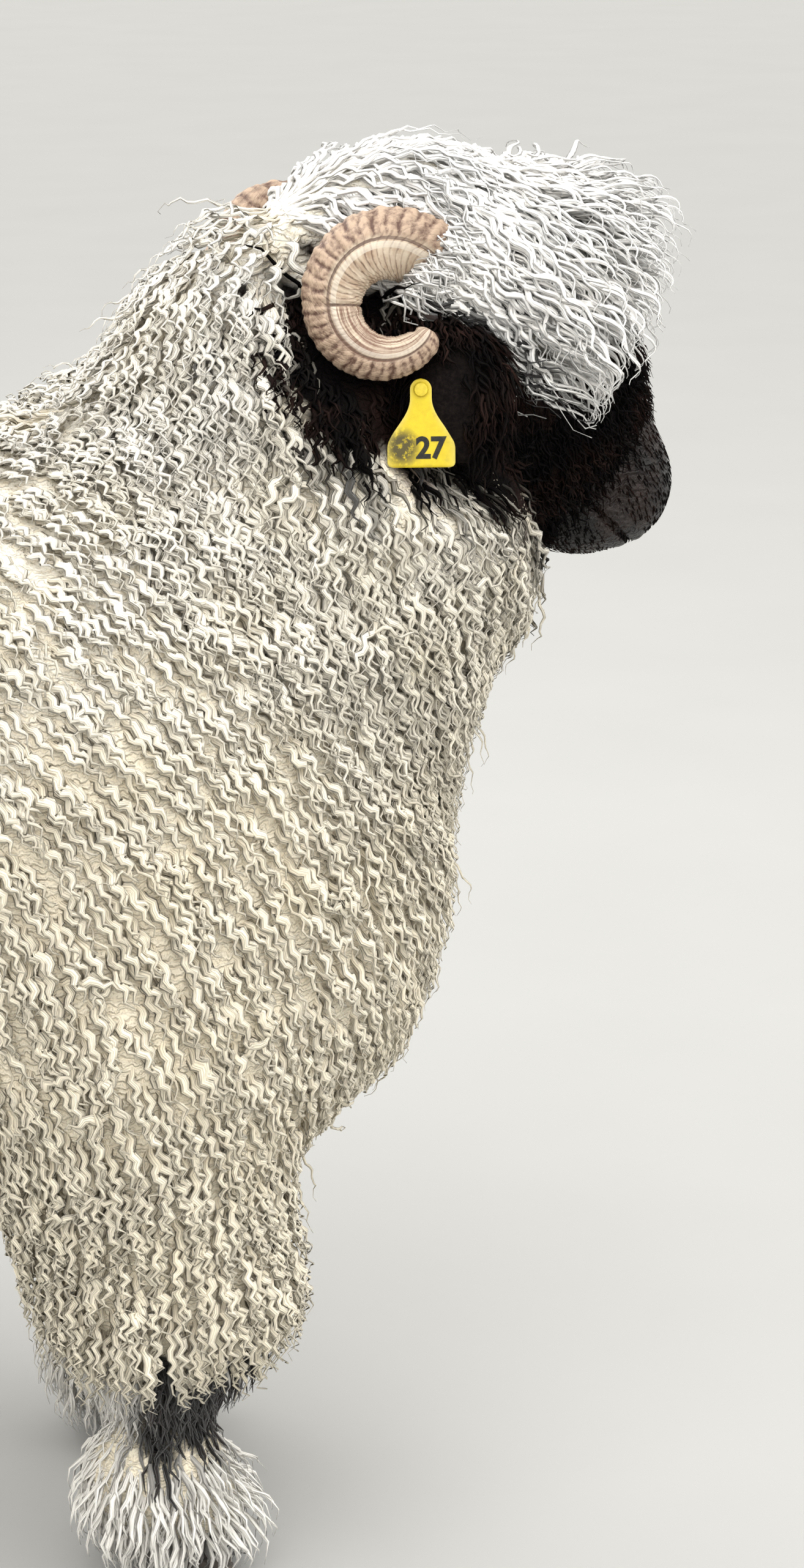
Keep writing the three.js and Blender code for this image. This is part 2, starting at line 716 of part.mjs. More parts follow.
// A horn: a bar with a keel on its outer side, coiled back, down and forward, and ringed by its growth.
function horn(side) {
  const sign = SIDES[side];
  const outward = headLeft.clone().multiplyScalar(sign);
  const level = headNose.clone().setZ(0).normalize();
  const forward = splayedForward(sign);
  const away = outward
    .clone()
    .multiplyScalar(Math.cos(HORN_SPLAY))
    .addScaledVector(level, -Math.sin(HORN_SPLAY));
  const up = Z_AXIS.clone().multiplyScalar(Math.cos(HORN_LEAN)).addScaledVector(away, -Math.sin(HORN_LEAN));
  const lateral = new THREE.Vector3().crossVectors(forward, up).normalize();
  if (lateral.dot(away) < 0) lateral.negate();
  const centre = hornCentre(sign);
  const count = 22;
  const rings = [];
  for (let i = 0; i < count; i++) {
    const share = i / (count - 1);
    const angle = mix(0.1, 5.75, share);
    const radius = HORN_COIL_RADIUS * mix(1.12, 0.82, share);
    const inward = -58 * (1 - smooth(angle, 0.1, 2.1)) + 6 * share;
    const radial = forward.clone().multiplyScalar(Math.cos(angle)).addScaledVector(up, Math.sin(angle));
    const middle = centre.clone().addScaledVector(radial, radius).addScaledVector(lateral, inward);
    const width = mix(HORN_ROOT_WIDTH, HORN_TIP_WIDTH, share ** 1.5);
    const ringed = smooth(share, 0.05, 0.2) * (1 - smooth(share, 0.75, 0.95));
    const ridge = 1 + 0.035 * Math.cos(i * Math.PI) * ringed;
    const tip = share > 0.97 ? 0.72 : 1;
    rings.push(
      Array.from({ length: 8 }, (_, k) => {
        const turn = (2 * Math.PI * k) / 8;
        const keel = 1 + 0.16 * Math.max(0, Math.cos(turn)) ** 2;
        const out = Math.cos(turn) * width * 0.5 * ridge * keel * tip;
        const aside = Math.sin(turn) * width * 0.42 * ridge * tip;
        return middle.clone().addScaledVector(radial, out).addScaledVector(lateral, aside);
      }),
    );
  }
  return tube(rings, middleOf(rings[0]), middleOf(rings[count - 1]));
}

// An ear: a leaf that curls into a cup, its hollow turned forward, drooping along a bent spine.
const earSpine = (sign) =>
  new THREE.QuadraticBezierCurve3(
    onHead(8, sign * 64, -62),
    onHead(0, sign * 130, -78),
    onHead(70, sign * 130, -134),
  );
function earPoint(sign, along, across, depth) {
  const spine = earSpine(sign);
  const centre = spine.getPoint(along);
  const heading = spine.getTangent(along);
  const width = splayedForward(sign);
  width.addScaledVector(heading, -width.dot(heading)).normalize();
  const back = new THREE.Vector3().crossVectors(heading, width).multiplyScalar(-sign);
  const rounding = Math.sqrt(1 - Math.max(0, (along - 0.55) / 0.46) ** 2);
  const half = EAR_WIDTH * 0.5 * mix(0.5, 1, smooth(along, 0, 0.45)) * rounding;
  const curl = mix(1.5, 0.75, along);
  const roll = across * curl;
  return centre
    .addScaledVector(width, (Math.sin(roll) / curl) * half * 1.15 + Math.sin(roll) * depth)
    .addScaledVector(back, (Math.cos(roll) - 1) * half * 0.9 + Math.cos(roll) * depth);
}
function ear(side) {
  const sign = SIDES[side];
  const lengths = 6;
  const widths = 4;
  const points = [];
  const layer = (depth) => {
    for (let i = 0; i <= lengths; i++) {
      for (let j = 0; j <= widths; j++) {
        points.push(earPoint(sign, mix(0, 0.985, i / lengths), mix(-1, 1, j / widths), depth));
      }
    }
  };
  layer(EAR_WALL * 0.5);
  layer(-EAR_WALL * 0.5);
  const row = widths + 1;
  const size = row * (lengths + 1);
  const triangles = [];
  const quad = (a, b, c, d) => triangles.push(a, b, c, a, c, d);
  for (let i = 0; i < lengths; i++) {
    for (let j = 0; j < widths; j++) {
      const a = i * row + j;
      quad(a, a + 1, a + row + 1, a + row);
      quad(size + a, size + a + row, size + a + row + 1, size + a + 1);
    }
    const left = i * row;
    const right = i * row + widths;
    quad(left, left + row, size + left + row, size + left);
    quad(right + row, right, size + right, size + right + row);
  }
  for (let j = 0; j < widths; j++) {
    const far = lengths * row + j;
    quad(j + 1, j, size + j, size + j + 1);
    quad(far, far + 1, size + far + 1, size + far);
  }
  return solidFrom(points, triangles);
}

// Lids: two bent, tapered folds round the front of each eyeball.
function eyeFrame(sign) {
  const out = headTurn(0.3, sign, 0.12);
  const along = headNose.clone().addScaledVector(out, -headNose.dot(out)).normalize();
  const over = new THREE.Vector3().crossVectors(along, out).normalize();
  if (over.dot(headCrest) < 0) over.negate();
  return { out, along, over };
}
function lid(sign, isUpper) {
  const { out, along, over } = eyeFrame(sign);
  const centre = eyeCentre(sign);
  const rise = isUpper ? 1 : -1;
  const rings = evenly(7).map((share) => {
    const angle = mix(-0.1, Math.PI + 0.1, share);
    const radial = along
      .clone()
      .multiplyScalar(Math.cos(angle) * 1.08)
      .addScaledVector(over, rise * Math.sin(angle) * (isUpper ? 0.78 : 0.82));
    const middle = centre
      .clone()
      .addScaledVector(radial, EYE_RADIUS)
      .addScaledVector(out, EYE_RADIUS * 0.52);
    const thick = mix(1.6, isUpper ? 4 : 3, Math.sin(Math.PI * share));
    const ring = radial.clone().normalize();
    return Array.from({ length: 6 }, (_, k) => {
      const turn = (2 * Math.PI * k) / 6;
      return middle
        .clone()
        .addScaledVector(ring, Math.cos(turn) * thick)
        .addScaledVector(out, Math.sin(turn) * (thick + 2.5));
    });
  });
  return tube(rings, middleOf(rings[0]), middleOf(rings[6]));
}
const ballSolid = (centre, radius, sides = 12) =>
  solidOfGeometry(
    new THREE.SphereGeometry(radius, sides, sides * 0.6).translate(centre.x, centre.y, centre.z),
  );

// The mouth line: a thin groove round the muzzle, and a slit for each nostril.
function mouthGroove() {
  const rings = evenly(15).map((share) => {
    const turn = mix(-1, 1, share);
    const heart = onHead(mix(236, 196, Math.abs(turn) ** 1.6), 0, -76 - 5 * Math.abs(turn));
    const ray = headTurn(Math.cos(turn * 1.6), Math.sin(turn * 1.6), 0);
    const edge = surfacePoint(headField, coreOf(headCoat), heart, ray);
    const slim = mix(2.4, 1, Math.abs(turn) ** 3);
    return [
      edge.clone().addScaledVector(ray, 4).addScaledVector(headCrest, slim * 1.5),
      edge.clone().addScaledVector(ray, -mix(5, 2, Math.abs(turn))),
      edge.clone().addScaledVector(ray, 4).addScaledVector(headCrest, -slim * 1.5),
    ];
  });
  return tube(rings, middleOf(rings[0]), middleOf(rings[14]));
}
function nostril(sign) {
  const heart = onHead(232, sign * 8, -48);
  const rings = evenly(6).map((share) => {
    const ray = headTurn(1, sign * mix(0.18, 0.95, share), mix(0.02, 0.62, share ** 0.8));
    const edge = surfacePoint(headField, coreOf(headCoat), heart, ray);
    const slim = mix(2.6, 1.2, share) * (share === 0 ? 0.8 : 1);
    const across = new THREE.Vector3().crossVectors(ray, headTurn(0, sign, 0.8)).normalize();
    return [
      edge.clone().addScaledVector(ray, 5).addScaledVector(across, slim * 1.3),
      edge.clone().addScaledVector(ray, -mix(8, 3, share)),
      edge.clone().addScaledVector(ray, 5).addScaledVector(across, -slim * 1.3),
    ];
  });
  return tube(rings, middleOf(rings[0]), middleOf(rings[5]));
}

// The forelock: long flat locks from the crown that fall forward over the brow and down the temples.
function forelock() {
  const draw = seeded(71);
  const roots = [];
  for (let row = 0; row < 4; row++) {
    const count = 5 - (row % 2);
    for (let i = 0; i < count; i++) {
      const left = mix(-1, 1, (i + 0.5) / count) * 56 + 8 * (draw() - 0.5);
      const along = -30 + row * 30 + 6 * (draw() - 0.5) - Math.abs(left) * 0.12;
      const ray = headTurn(0, left, 62);
      const root = surfacePoint(bodyField, () => 0, onHead(along, 0, -56), ray);
      roots.push({ root, jut: row * FORELOCK_JUT });
    }
  }
  return roots.map(({ root, jut }) =>
    clump(bodyField, root, crownLie, {
      depth: CROWN_COAT * (1 + jut),
      length: FORELOCK_LENGTH * (1 - jut) * vary(draw, 0.22),
      width: 46 * vary(draw, 0.2),
      thickness: 24 * vary(draw, 0.2),
      tipHeight: 0.98 * vary(draw, 0.1),
      bend: 0.9 * (draw() - 0.5),
      stations: [0, 0.3, 0.68, 1],
      widths: [0.8, 1, 0.6],
      sides: 5,
    }),
  );
}
function cheekWool() {
  const draw = seeded(83);
  const roots = strewn(
    headField,
    [onHead(40, 0, -60), onHead(110, 0, -66), onHead(170, 0, -62)],
    FACE_SPACING,
    1500,
    draw,
    (p) => {
      const local = p.clone().sub(POLL);
      const crest = local.dot(headCrest);
      const along = local.dot(headNose);
      const nearEye = [-1, 1].some((sign) => p.distanceTo(eyeCentre(sign)) < 34);
      return crest < -18 - (120 - along) * 0.15 && along > 36 && along < 172 && !nearEye;
    },
  );
  return clumpsOver(headField, headCoat, roots, faceLie, FACE_CLUMP, draw);
}

// The head is its core with the wool and lids joined on. The wool is parted in front of the eyes.
function wholeHead() {
  const eyeRoom = [-1, 1].map((sign) =>
    ballSolid(eyeCentre(sign).addScaledVector(eyeFrame(sign).out, EYE_RADIUS * 1.3), EYE_RADIUS * 1.7),
  );
  const parted = (lock) => largest(lock.subtract(eyeRoom[0]).subtract(eyeRoom[1]));
  return joined([
    headCore(),
    ...[...forelock(), ...cheekWool()].map(parted),
    ...[-1, 1].flatMap((sign) => [lid(sign, true), lid(sign, false)]),
  ]);
}
const headHollows = () => [
  mouthGroove(),
  ...[-1, 1].flatMap((sign) => [nostril(sign), ballSolid(eyeCentre(sign), EYE_RADIUS + GAP)]),
];

// The tag: a flat plate that flares from a round neck, hung from a stud through the ear.
function tagOutline() {
  const half = TAG_WIDTH / 2;
  const shape = new THREE.Shape();
  shape.moveTo(-TAG_NECK, 0);
  shape.absarc(0, 0, TAG_NECK, Math.PI, 0, true);
  shape.quadraticCurveTo(TAG_NECK + 1, -TAG_HEIGHT * 0.42, half, -TAG_HEIGHT * 0.66);
  shape.lineTo(half, -TAG_HEIGHT + TAG_NECK + 4);
  shape.quadraticCurveTo(half, -TAG_HEIGHT + TAG_NECK, half - 4, -TAG_HEIGHT + TAG_NECK);
  shape.lineTo(-half + 4, -TAG_HEIGHT + TAG_NECK);
  shape.quadraticCurveTo(-half, -TAG_HEIGHT + TAG_NECK, -half, -TAG_HEIGHT + TAG_NECK + 4);
  shape.lineTo(-half, -TAG_HEIGHT * 0.66);
  shape.quadraticCurveTo(-TAG_NECK - 1, -TAG_HEIGHT * 0.42, -TAG_NECK, 0);
  const hole = new THREE.Path();
  hole.absarc(0, 0, STUD_RADIUS + GAP, 0, 2 * Math.PI, false);
  shape.holes.push(hole);
  return shape;
}

// The tag hangs outside the ear on a stud that goes through it near the ear's rear edge, and faces out
// to the animal's side.
function tagFrame(sign) {
  const spot = earPoint(sign, TAG_ALONG, TAG_ACROSS, 0);
  const outside = at(-0.16, sign, 0.18).normalize();
  const over = Z_AXIS.clone().addScaledVector(outside, -outside.z).normalize();
  const aside = new THREE.Vector3().crossVectors(over, outside);
  return new THREE.Matrix4().makeBasis(aside, over, outside).setPosition(spot);
}
function tagPlate(sign) {
  const plate = new THREE.ExtrudeGeometry(tagOutline(), {
    depth: TAG_WALL,
    bevelEnabled: false,
    curveSegments: 6,
  });
  plate.translate(0, 0, TAG_STAND_OFF);
  return solidOfGeometry(plate.applyMatrix4(tagFrame(sign)));
}
function tagStud(sign) {
  const outer = TAG_STAND_OFF + TAG_WALL + GAP;
  const profile = [
    [0, -7],
    [6.5, -7],
    [7, -4.4],
    [STUD_RADIUS, -4],
    [STUD_RADIUS, outer],
    [5, outer],
    [4.2, outer + 2],
    [0, outer + 2.4],
  ].map(([radius, height]) => new THREE.Vector2(radius, height));
  const stud = new THREE.LatheGeometry(profile, 12).rotateX(Math.PI / 2);
  return solidOfGeometry(stud.applyMatrix4(tagFrame(sign)));
}

const boxSolid = (low, high) => {
  const size = high.clone().sub(low);
  const middle = low.clone().add(high).multiplyScalar(0.5);
  return solidOfGeometry(
    new THREE.BoxGeometry(size.x, size.y, size.z).translate(middle.x, middle.y, middle.z),
  );
};

// The space that each leg and the tail take out of the whole, with straight walls.
function legBox(kind, side, extra) {
  const x = kind === "fore" ? FORELEG_X : HINDLEG_X;
  const sign = SIDES[side];
  const inner = sign * (8 - extra);
  const outer = sign * 400;
  return boxSolid(
    at(x - 120 - extra, Math.min(inner, outer), -50),
    at(x + 118 + extra, Math.max(inner, outer), LEG_TOP_Z + extra),
  );
}

// A plane that faces along a direction: the part beyond it, or before it.
const beyond = (solid, normal, distance) =>
  solid.trimByPlane([normal.x, normal.y, normal.z], distance + GAP / 2);
const before = (solid, normal, distance) =>
  solid.trimByPlane([-normal.x, -normal.y, -normal.z], GAP / 2 - distance);

const headCutNormal = at(0.938 * Math.cos(HEAD_YAW / 2), 0.938 * Math.sin(HEAD_YAW / 2), 0.347).normalize();
const neckCutNormal = at(0.49, 0, 0.872).normalize();

function tailPieces() {
  const draw = seeded(59);
  const path = [
    at(BUTTOCK_X + 10, 0, 668),
    at(BUTTOCK_X - 26, 0, 560),
    at(BUTTOCK_X - 34, 0, TAIL_TIP_Z + 48),
  ];
  const roots = strewn(tailField, path, TAIL_SPACING, 500, draw, (p) => p.x < BUTTOCK_X - 22 && p.z > 345);
  return [
    skinTube(tailField, coreOf(tailCoat), pathThrough(path, evenly(7)), 9, { start: 0, end: 1 }, true),
    ...clumpsOver(tailField, tailCoat, roots, hangingLie, TAIL_CLUMP, draw),
  ];
}

const nodes = {};

function buildNodes() {
  const legKinds = ["fore", "hind"].flatMap((kind) => ["right", "left"].map((side) => [kind, side]));
  const whole = joined([
    ...trunkSolids(),
    wholeHead(),
    ...legKinds.flatMap(([kind, side]) => legParts(kind, side)),
  ]);
  const horns = { right: horn("right"), left: horn("left") };
  const ears = { right: ear("right"), left: ear("left") };
  const roomFor = (...solids) => solids.map((solid) => swollen(solid, GAP * 1.3));
  const earRoom = roomFor(ears.right, ears.left);
  const hornRoom = roomFor(horns.right, horns.left);
  const tagRoom = roomFor(tagPlate(SIDES.right), tagStud(SIDES.right));
  const headRoom = [...hornRoom, ...earRoom, ...tagRoom];
  const clear = (solid, cutters) => cutters.reduce((left, cutter) => left.subtract(cutter), solid);

  nodes.head = largest(clear(beyond(whole, headCutNormal, HEAD_CUT), [...headRoom, ...headHollows()]));
  const belowHead = before(whole, headCutNormal, HEAD_CUT);
  nodes.neck = largest(clear(beyond(belowHead, neckCutNormal, NECK_CUT), headRoom));
  let trunk = before(belowHead, neckCutNormal, NECK_CUT);
  for (const [kind, side] of legKinds) {
    const sign = SIDES[side];
    const x = kind === "fore" ? FORELEG_X + 22 : HINDLEG_X + 8;
    let leg = trunk.intersect(legBox(kind, side, 0)).trimByPlane([0, 0, 1], SHANK_WOOL_LOW_Z);
    for (const [name, place] of Object.entries({ inner: -1, outer: 1 })) {
      const y = sign * FOOT_HALF_TRACK + place * sign * CLAW_SPREAD * 0.5;
      const half = claw(x, y, -place * sign);
      nodes[`claw_${kind}_${side}_${name}`] = half;
      leg = leg.subtract(roomFor(half)[0]);
    }
    nodes[`${kind}leg_${side}`] = largest(leg);
  }
  for (const [kind, side] of legKinds) trunk = trunk.subtract(legBox(kind, side, GAP));
  const rear = before(trunk, X_AXIS, RUMP_CUT_X);
  const tail = tailPieces();
  const tailRoom = roomFor(...tail).map((room) => before(room, X_AXIS, TAIL_CUT_X + GAP * 1.5));
  nodes.tail = before(joined(tail), X_AXIS, TAIL_CUT_X);
  nodes.rump = largest(clear(rear, tailRoom));
  const front = beyond(trunk, X_AXIS, RUMP_CUT_X);
  nodes.barrel = largest(before(front, X_AXIS, CHEST_CUT_X));
  nodes.chest = largest(beyond(front, X_AXIS, CHEST_CUT_X));
  for (const side of ["right", "left"]) {
    nodes[`horn_${side}`] = horns[side];
    nodes[`ear_${side}`] = largest(clear(ears[side], [...hornRoom, ...tagRoom]));
    nodes[`eye_${side}`] = ballSolid(eyeCentre(SIDES[side]), EYE_RADIUS);
  }
  nodes.ear_tag = tagPlate(SIDES.right);
  nodes.ear_tag_stud = tagStud(SIDES.right);
}
buildNodes();

const finishes = {
  wool: { color: 0xe9e2d0, roughness: 0.95 },
  blackWool: { color: 0x1d1614, roughness: 0.95 },
  ear: { color: 0x16120f, roughness: 0.9 },
  horn: { color: 0x9a7a5c, roughness: 0.6 },
  hoof: { color: 0x2a2622, roughness: 0.55 },
  eye: { color: 0x2b1a0c, roughness: 0.12 },
  tag: { color: 0xf2d414, roughness: 0.45 },
};
function finishOf(name) {
  if (name.startsWith("claw")) return finishes.hoof;
  if (name.startsWith("ear_tag")) return finishes.tag;
  if (name.startsWith("ear")) return finishes.ear;
  if (name.startsWith("horn")) return finishes.horn;
  if (name.startsWith("eye")) return finishes.eye;
  return name === "head" ? finishes.blackWool : finishes.wool;
}

const group = new THREE.Group();
group.name = "valais_blacknose_sheep";
for (const [name, solid] of Object.entries(nodes)) {
  const { vertProperties, triVerts, numProp } = settled(solid).getMesh();
  const geometry = new THREE.BufferGeometry();
  geometry.setAttribute("position", new THREE.BufferAttribute(Float32Array.from(vertProperties), numProp));
  geometry.setIndex(new THREE.BufferAttribute(Uint32Array.from(triVerts), 1));
  const mesh = new THREE.Mesh(geometry, new THREE.MeshStandardMaterial(finishOf(name)));
  mesh.name = name;
  group.add(mesh);
}
group.position.x = CENTRE_SHIFT_X;

export default group;
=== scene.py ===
"""A life-size valais blacknose sheep, standing: one skin, its fleece lock by lock, and the pieces of horn,
hoof, eye and tag. Metres, +X towards the front of the body, +Y to the animal's left, +Z up."""

import math

import bpy
import numpy as np
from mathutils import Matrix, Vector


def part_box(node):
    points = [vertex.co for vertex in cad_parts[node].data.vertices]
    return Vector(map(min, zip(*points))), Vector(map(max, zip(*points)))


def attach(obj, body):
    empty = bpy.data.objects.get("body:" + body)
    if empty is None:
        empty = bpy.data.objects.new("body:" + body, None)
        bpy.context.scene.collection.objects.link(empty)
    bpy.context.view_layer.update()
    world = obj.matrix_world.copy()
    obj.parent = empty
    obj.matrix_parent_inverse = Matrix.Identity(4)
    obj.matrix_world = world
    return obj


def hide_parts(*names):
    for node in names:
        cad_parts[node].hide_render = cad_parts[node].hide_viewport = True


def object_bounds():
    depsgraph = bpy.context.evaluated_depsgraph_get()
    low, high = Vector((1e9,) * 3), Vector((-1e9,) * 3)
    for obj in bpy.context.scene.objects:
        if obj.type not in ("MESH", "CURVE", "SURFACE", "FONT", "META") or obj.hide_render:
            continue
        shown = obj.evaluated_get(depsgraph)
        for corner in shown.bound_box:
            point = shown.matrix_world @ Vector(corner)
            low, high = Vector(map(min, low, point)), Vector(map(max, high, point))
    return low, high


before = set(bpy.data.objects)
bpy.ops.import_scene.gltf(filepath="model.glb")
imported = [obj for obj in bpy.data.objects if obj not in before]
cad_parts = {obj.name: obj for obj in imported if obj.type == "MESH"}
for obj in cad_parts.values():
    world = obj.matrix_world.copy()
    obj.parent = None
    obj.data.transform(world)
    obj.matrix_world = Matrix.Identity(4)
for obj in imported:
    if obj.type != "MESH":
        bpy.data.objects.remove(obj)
cad_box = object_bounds()

MM = 0.001


def centre(node):
    """The middle of a node's box."""
    low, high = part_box(node)
    return (np.array(low) + np.array(high)) / 2


# The stance, from the frame: where the hooves stand, and how the eyeballs say that the head is turned.
CLAW_AHEAD_OF_WITHERS = 186.4 * MM
SHIFT_X = centre("claw_fore_right_outer")[0] - CLAW_AHEAD_OF_WITHERS
FOOT_HALF_TRACK = (centre("claw_fore_left_outer")[1] + centre("claw_fore_left_inner")[1]) / 2
# A faceted ball is a little smaller than the round one that it stands for.
FACETED_TO_ROUND = 1.02
EYE_RADIUS = (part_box("eye_right")[1][2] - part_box("eye_right")[0][2]) / 2 * FACETED_TO_ROUND

HEAD_PITCH = math.radians(42)
EYES_AHEAD_OF_POLL = 92 * MM
EYES_BELOW_CREST = 35 * MM
EYE_CENTRES = {-1: centre("eye_right"), 1: centre("eye_left")}
SIDE_NAMES = {-1: "right", 1: "left"}

# How far the tips of the coat stand off the skin.
BODY_COAT = 56 * MM
NECK_COAT = 66 * MM
CROWN_COAT = 58 * MM
FACE_COAT = 26 * MM
MUZZLE_COAT = 4 * MM
LEG_COAT = 58 * MM
CANNON_COAT = 34 * MM
KNEE_COAT = 12 * MM
FOOT_COAT = 6 * MM
TAIL_COAT = 40 * MM
NAPE_RISE = 20 * MM
HEM_SHARE = 0.35

# The share of that depth which the skin itself fills, as the dense wool under the locks.
UNDERWOOL_SHARE = 0.82
POLL_UNDERWOOL_SHARE = 0.50
BROW_UNDERWOOL_SHARE = 0.82
SHANK_UNDERWOOL_SHARE = 0.55
SHORT_COAT_SHARE = 0.7

FORE_HEM_Z = 152 * MM
HIND_HEM_Z = 175 * MM
FETLOCK_Z = 78 * MM
HOOF_HEIGHT = 42 * MM

# Where the body divides: fore from hind, leg from trunk, and trunk from neck by the sum of x and z.
MID_BODY_X = -0.12
LEG_TOP_Z = 0.36
NECK_RAMP = (0.780, 1.050)

# The black of the legs: how far forward or back it begins on knee and hock, at which heights, and its edge.
KNEE_FRONT, KNEE_HEIGHTS = (0.140, 0.160), (0.100, 0.205)
HOCK_BACK, HOCK_HEIGHTS = (0.432, 0.446), (0.185, 0.262)
KNEE_EDGE = 0.014
FOOT_BLACK = (34 * MM, 48 * MM)
# The black round an ear: balls, each by its place along the head, its crest and its radius in millimetres.
EAR_BLACK = ((-14, -128, 60), (26, -96, 50), (58, -108, 46), (-52, -112, 44))
EAR_BLACK_ASIDE = 84

# The camera: where it stands, how it looks down and round, and the height of its view.
CAMERA_PLACE = (-0.096, -2.217, 1.223)
CAMERA_AZIMUTH = math.radians(-12)
CAMERA_DOWN = math.radians(17)
CAMERA_VIEW_HEIGHT = math.radians(26)


def unit(vectors):
    """Each vector divided by its length."""
    return vectors / np.maximum(np.linalg.norm(vectors, axis=-1, keepdims=True), 1e-12)


def smooth(value, low, high):
    """The step 3t^2 - 2t^3 of how far a value lies from low to high."""
    t = np.clip((value - low) / (high - low), 0.0, 1.0)
    return t * t * (3.0 - 2.0 * t)


def mix(first, second, share):
    """first where share is 0, second where it is 1, and a straight line between."""
    return first + (second - first) * share


# The head's own directions: along the nose, to its left, and up from the bridge of the nose.
HEAD_LEFT = unit(EYE_CENTRES[1] - EYE_CENTRES[-1])
HEAD_LEVEL = unit(np.array([HEAD_LEFT[1], -HEAD_LEFT[0], 0.0]))
HEAD_NOSE = HEAD_LEVEL * math.cos(HEAD_PITCH) - np.array([0, 0, math.sin(HEAD_PITCH)])
HEAD_CREST = np.cross(HEAD_NOSE, HEAD_LEFT)
BETWEEN_EYES = (EYE_CENTRES[1] + EYE_CENTRES[-1]) / 2
POLL = BETWEEN_EYES - EYES_AHEAD_OF_POLL * HEAD_NOSE + EYES_BELOW_CREST * HEAD_CREST


def on_head(along, left, crest):
    """The place so many millimetres along the nose, to the left and towards the crest from the poll."""
    return POLL + MM * (along * HEAD_NOSE + left * HEAD_LEFT + crest * HEAD_CREST)


def head_local(points):
    """How far points lie along the nose, to the left and towards the crest, in metres from the poll."""
    reach = points - POLL
    return reach @ HEAD_NOSE, reach @ HEAD_LEFT, reach @ HEAD_CREST


def at(x, y, z):
    """A place given in millimetres from the withers, on the floor."""
    return np.array([x * MM + SHIFT_X, y * MM, z * MM])


def bar(start, start_radius, end, end_radius):
    """A round bar between two places, with a radius in millimetres at each."""
    return start, start_radius * MM, end, end_radius * MM


def ball(middle, radius):
    """A bar with no length."""
    return bar(middle, radius, middle, radius)


def both(make):
    """The same bar on the right and on the left."""
    return [make(-1), make(1)]


TORSO_BARS = [
    bar(at(66, 0, 574), 147, at(-370, 0, 587), 138),
    bar(at(110, 0, 505), 150, at(-320, 0, 520), 142),
    ball(at(187, 0, 492), 132),
    ball(at(211, 0, 440), 116),
    ball(at(44, 0, 648), 72),
    ball(at(-375, 0, 586), 128),
    *both(lambda side: bar(at(105, side * 82, 620), 82, at(150, side * 92, 425), 78)),
    *both(lambda side: bar(at(-385, side * 80, 530), 98, at(-365, side * 92, 405), 84)),
]
NECK_BARS = [
    bar(at(98, 0, 546), 120, at(318, 8, 798), 64),
    bar(at(318, 8, 798), 64, at(358, 15, 848), 50),
    bar(at(228, 0, 600), 106, at(334, 8, 712), 68),
    bar(at(345, 12, 850), 50, on_head(40, 0, -50), 54),
]
HEAD_BARS = [
    ball(on_head(40, 0, -50), 60),
    ball(on_head(10, 0, -42), 48),
    bar(on_head(60, 0, -48), 56, on_head(160, 0, -46), 44),
    bar(on_head(160, 0, -46), 44, on_head(236, 0, -46), 37),
    bar(on_head(70, 0, -95), 42, on_head(215, 0, -76), 29),
    *both(lambda side: ball(on_head(75, side * 32, -80), 40)),
    *both(lambda side: ball(on_head(88, side * 38, -30), 23)),
    bar(on_head(112, 0, -12), 32, on_head(205, 0, -19), 27),
    ball(on_head(246, 0, -56), 32),
    ball(on_head(228, 0, -84), 24),
]
FORE_Y = FOOT_HALF_TRACK / MM
FORELEG_BARS = [
    [
        bar(at(145, side * FORE_Y, 420), 62, at(179, side * FORE_Y, 205), 34),
        bar(at(183, side * FORE_Y, 205), 32, at(179, side * FORE_Y, 165), 27),
        bar(at(176, side * FORE_Y, 165), 22, at(168, side * FORE_Y, 78), 22),
        bar(at(168, side * FORE_Y, 78), 24, at(185, side * FORE_Y, 42), 24),
    ]
    for side in (-1, 1)
]
HINDLEG_BARS = [
    [
        bar(at(-370, side * 100, 410), 72, at(-433, side * FORE_Y, 257), 30),
        bar(at(-441, side * FORE_Y, 249), 29, at(-437, side * FORE_Y, 205), 26),
        bar(at(-437, side * FORE_Y, 205), 23, at(-419, side * FORE_Y, 78), 22),
        bar(at(-419, side * FORE_Y, 78), 24, at(-401, side * FORE_Y, 42), 24),
    ]
    for side in (-1, 1)
]
TAIL_BARS = [
    bar(at(-473, 0, 668), 34, at(-529, 0, 560), 22),
    bar(at(-529, 0, 560), 22, at(-537, 0, 280), 10),
]


def melt(first, second, blend):
    """The lesser of two distances, less h^2 blend / 4, where h is one less their difference over the
    blend, and never less than nothing."""
    share = np.maximum(blend - np.abs(first - second), 0.0) / blend
    return np.minimum(first, second) - share * share * blend * 0.25


def bar_distance(x, y, z, piece):
    """The distance to the nearest place on a bar's axis, less the radius there."""
    start, start_radius, end, end_radius = piece
    ax, ay, az = end - start
    length2 = max(ax * ax + ay * ay + az * az, 1e-12)
    dx, dy, dz = x - start[0], y - start[1], z - start[2]
    share = np.clip((dx * ax + dy * ay + dz * az) / length2, 0.0, 1.0)
    dx -= share * ax
    dy -= share * ay
    dz -= share * az
    return np.sqrt(dx * dx + dy * dy + dz * dz) - start_radius - (end_radius - start_radius) * share


def blended(points, bars, blend):
    """Distances to round bars, melted in turn."""
    x, y, z = points.T.copy()
    total = bar_distance(x, y, z, bars[0])
    for piece in bars[1:]:
        total = melt(total, bar_distance(x, y, z, piece), blend)
    return total


def regions(points):
    """The distances to the trunk, the head, the nearest leg and the tail."""
    trunk = blended(points, TORSO_BARS + NECK_BARS, 60 * MM)
    head = blended(points, HEAD_BARS, 26 * MM)
    legs = [blended(points, bars, 26 * MM) for bars in FORELEG_BARS + HINDLEG_BARS]
    tail = blended(points, TAIL_BARS, 30 * MM)
    return trunk, head, np.minimum.reduce(legs), tail


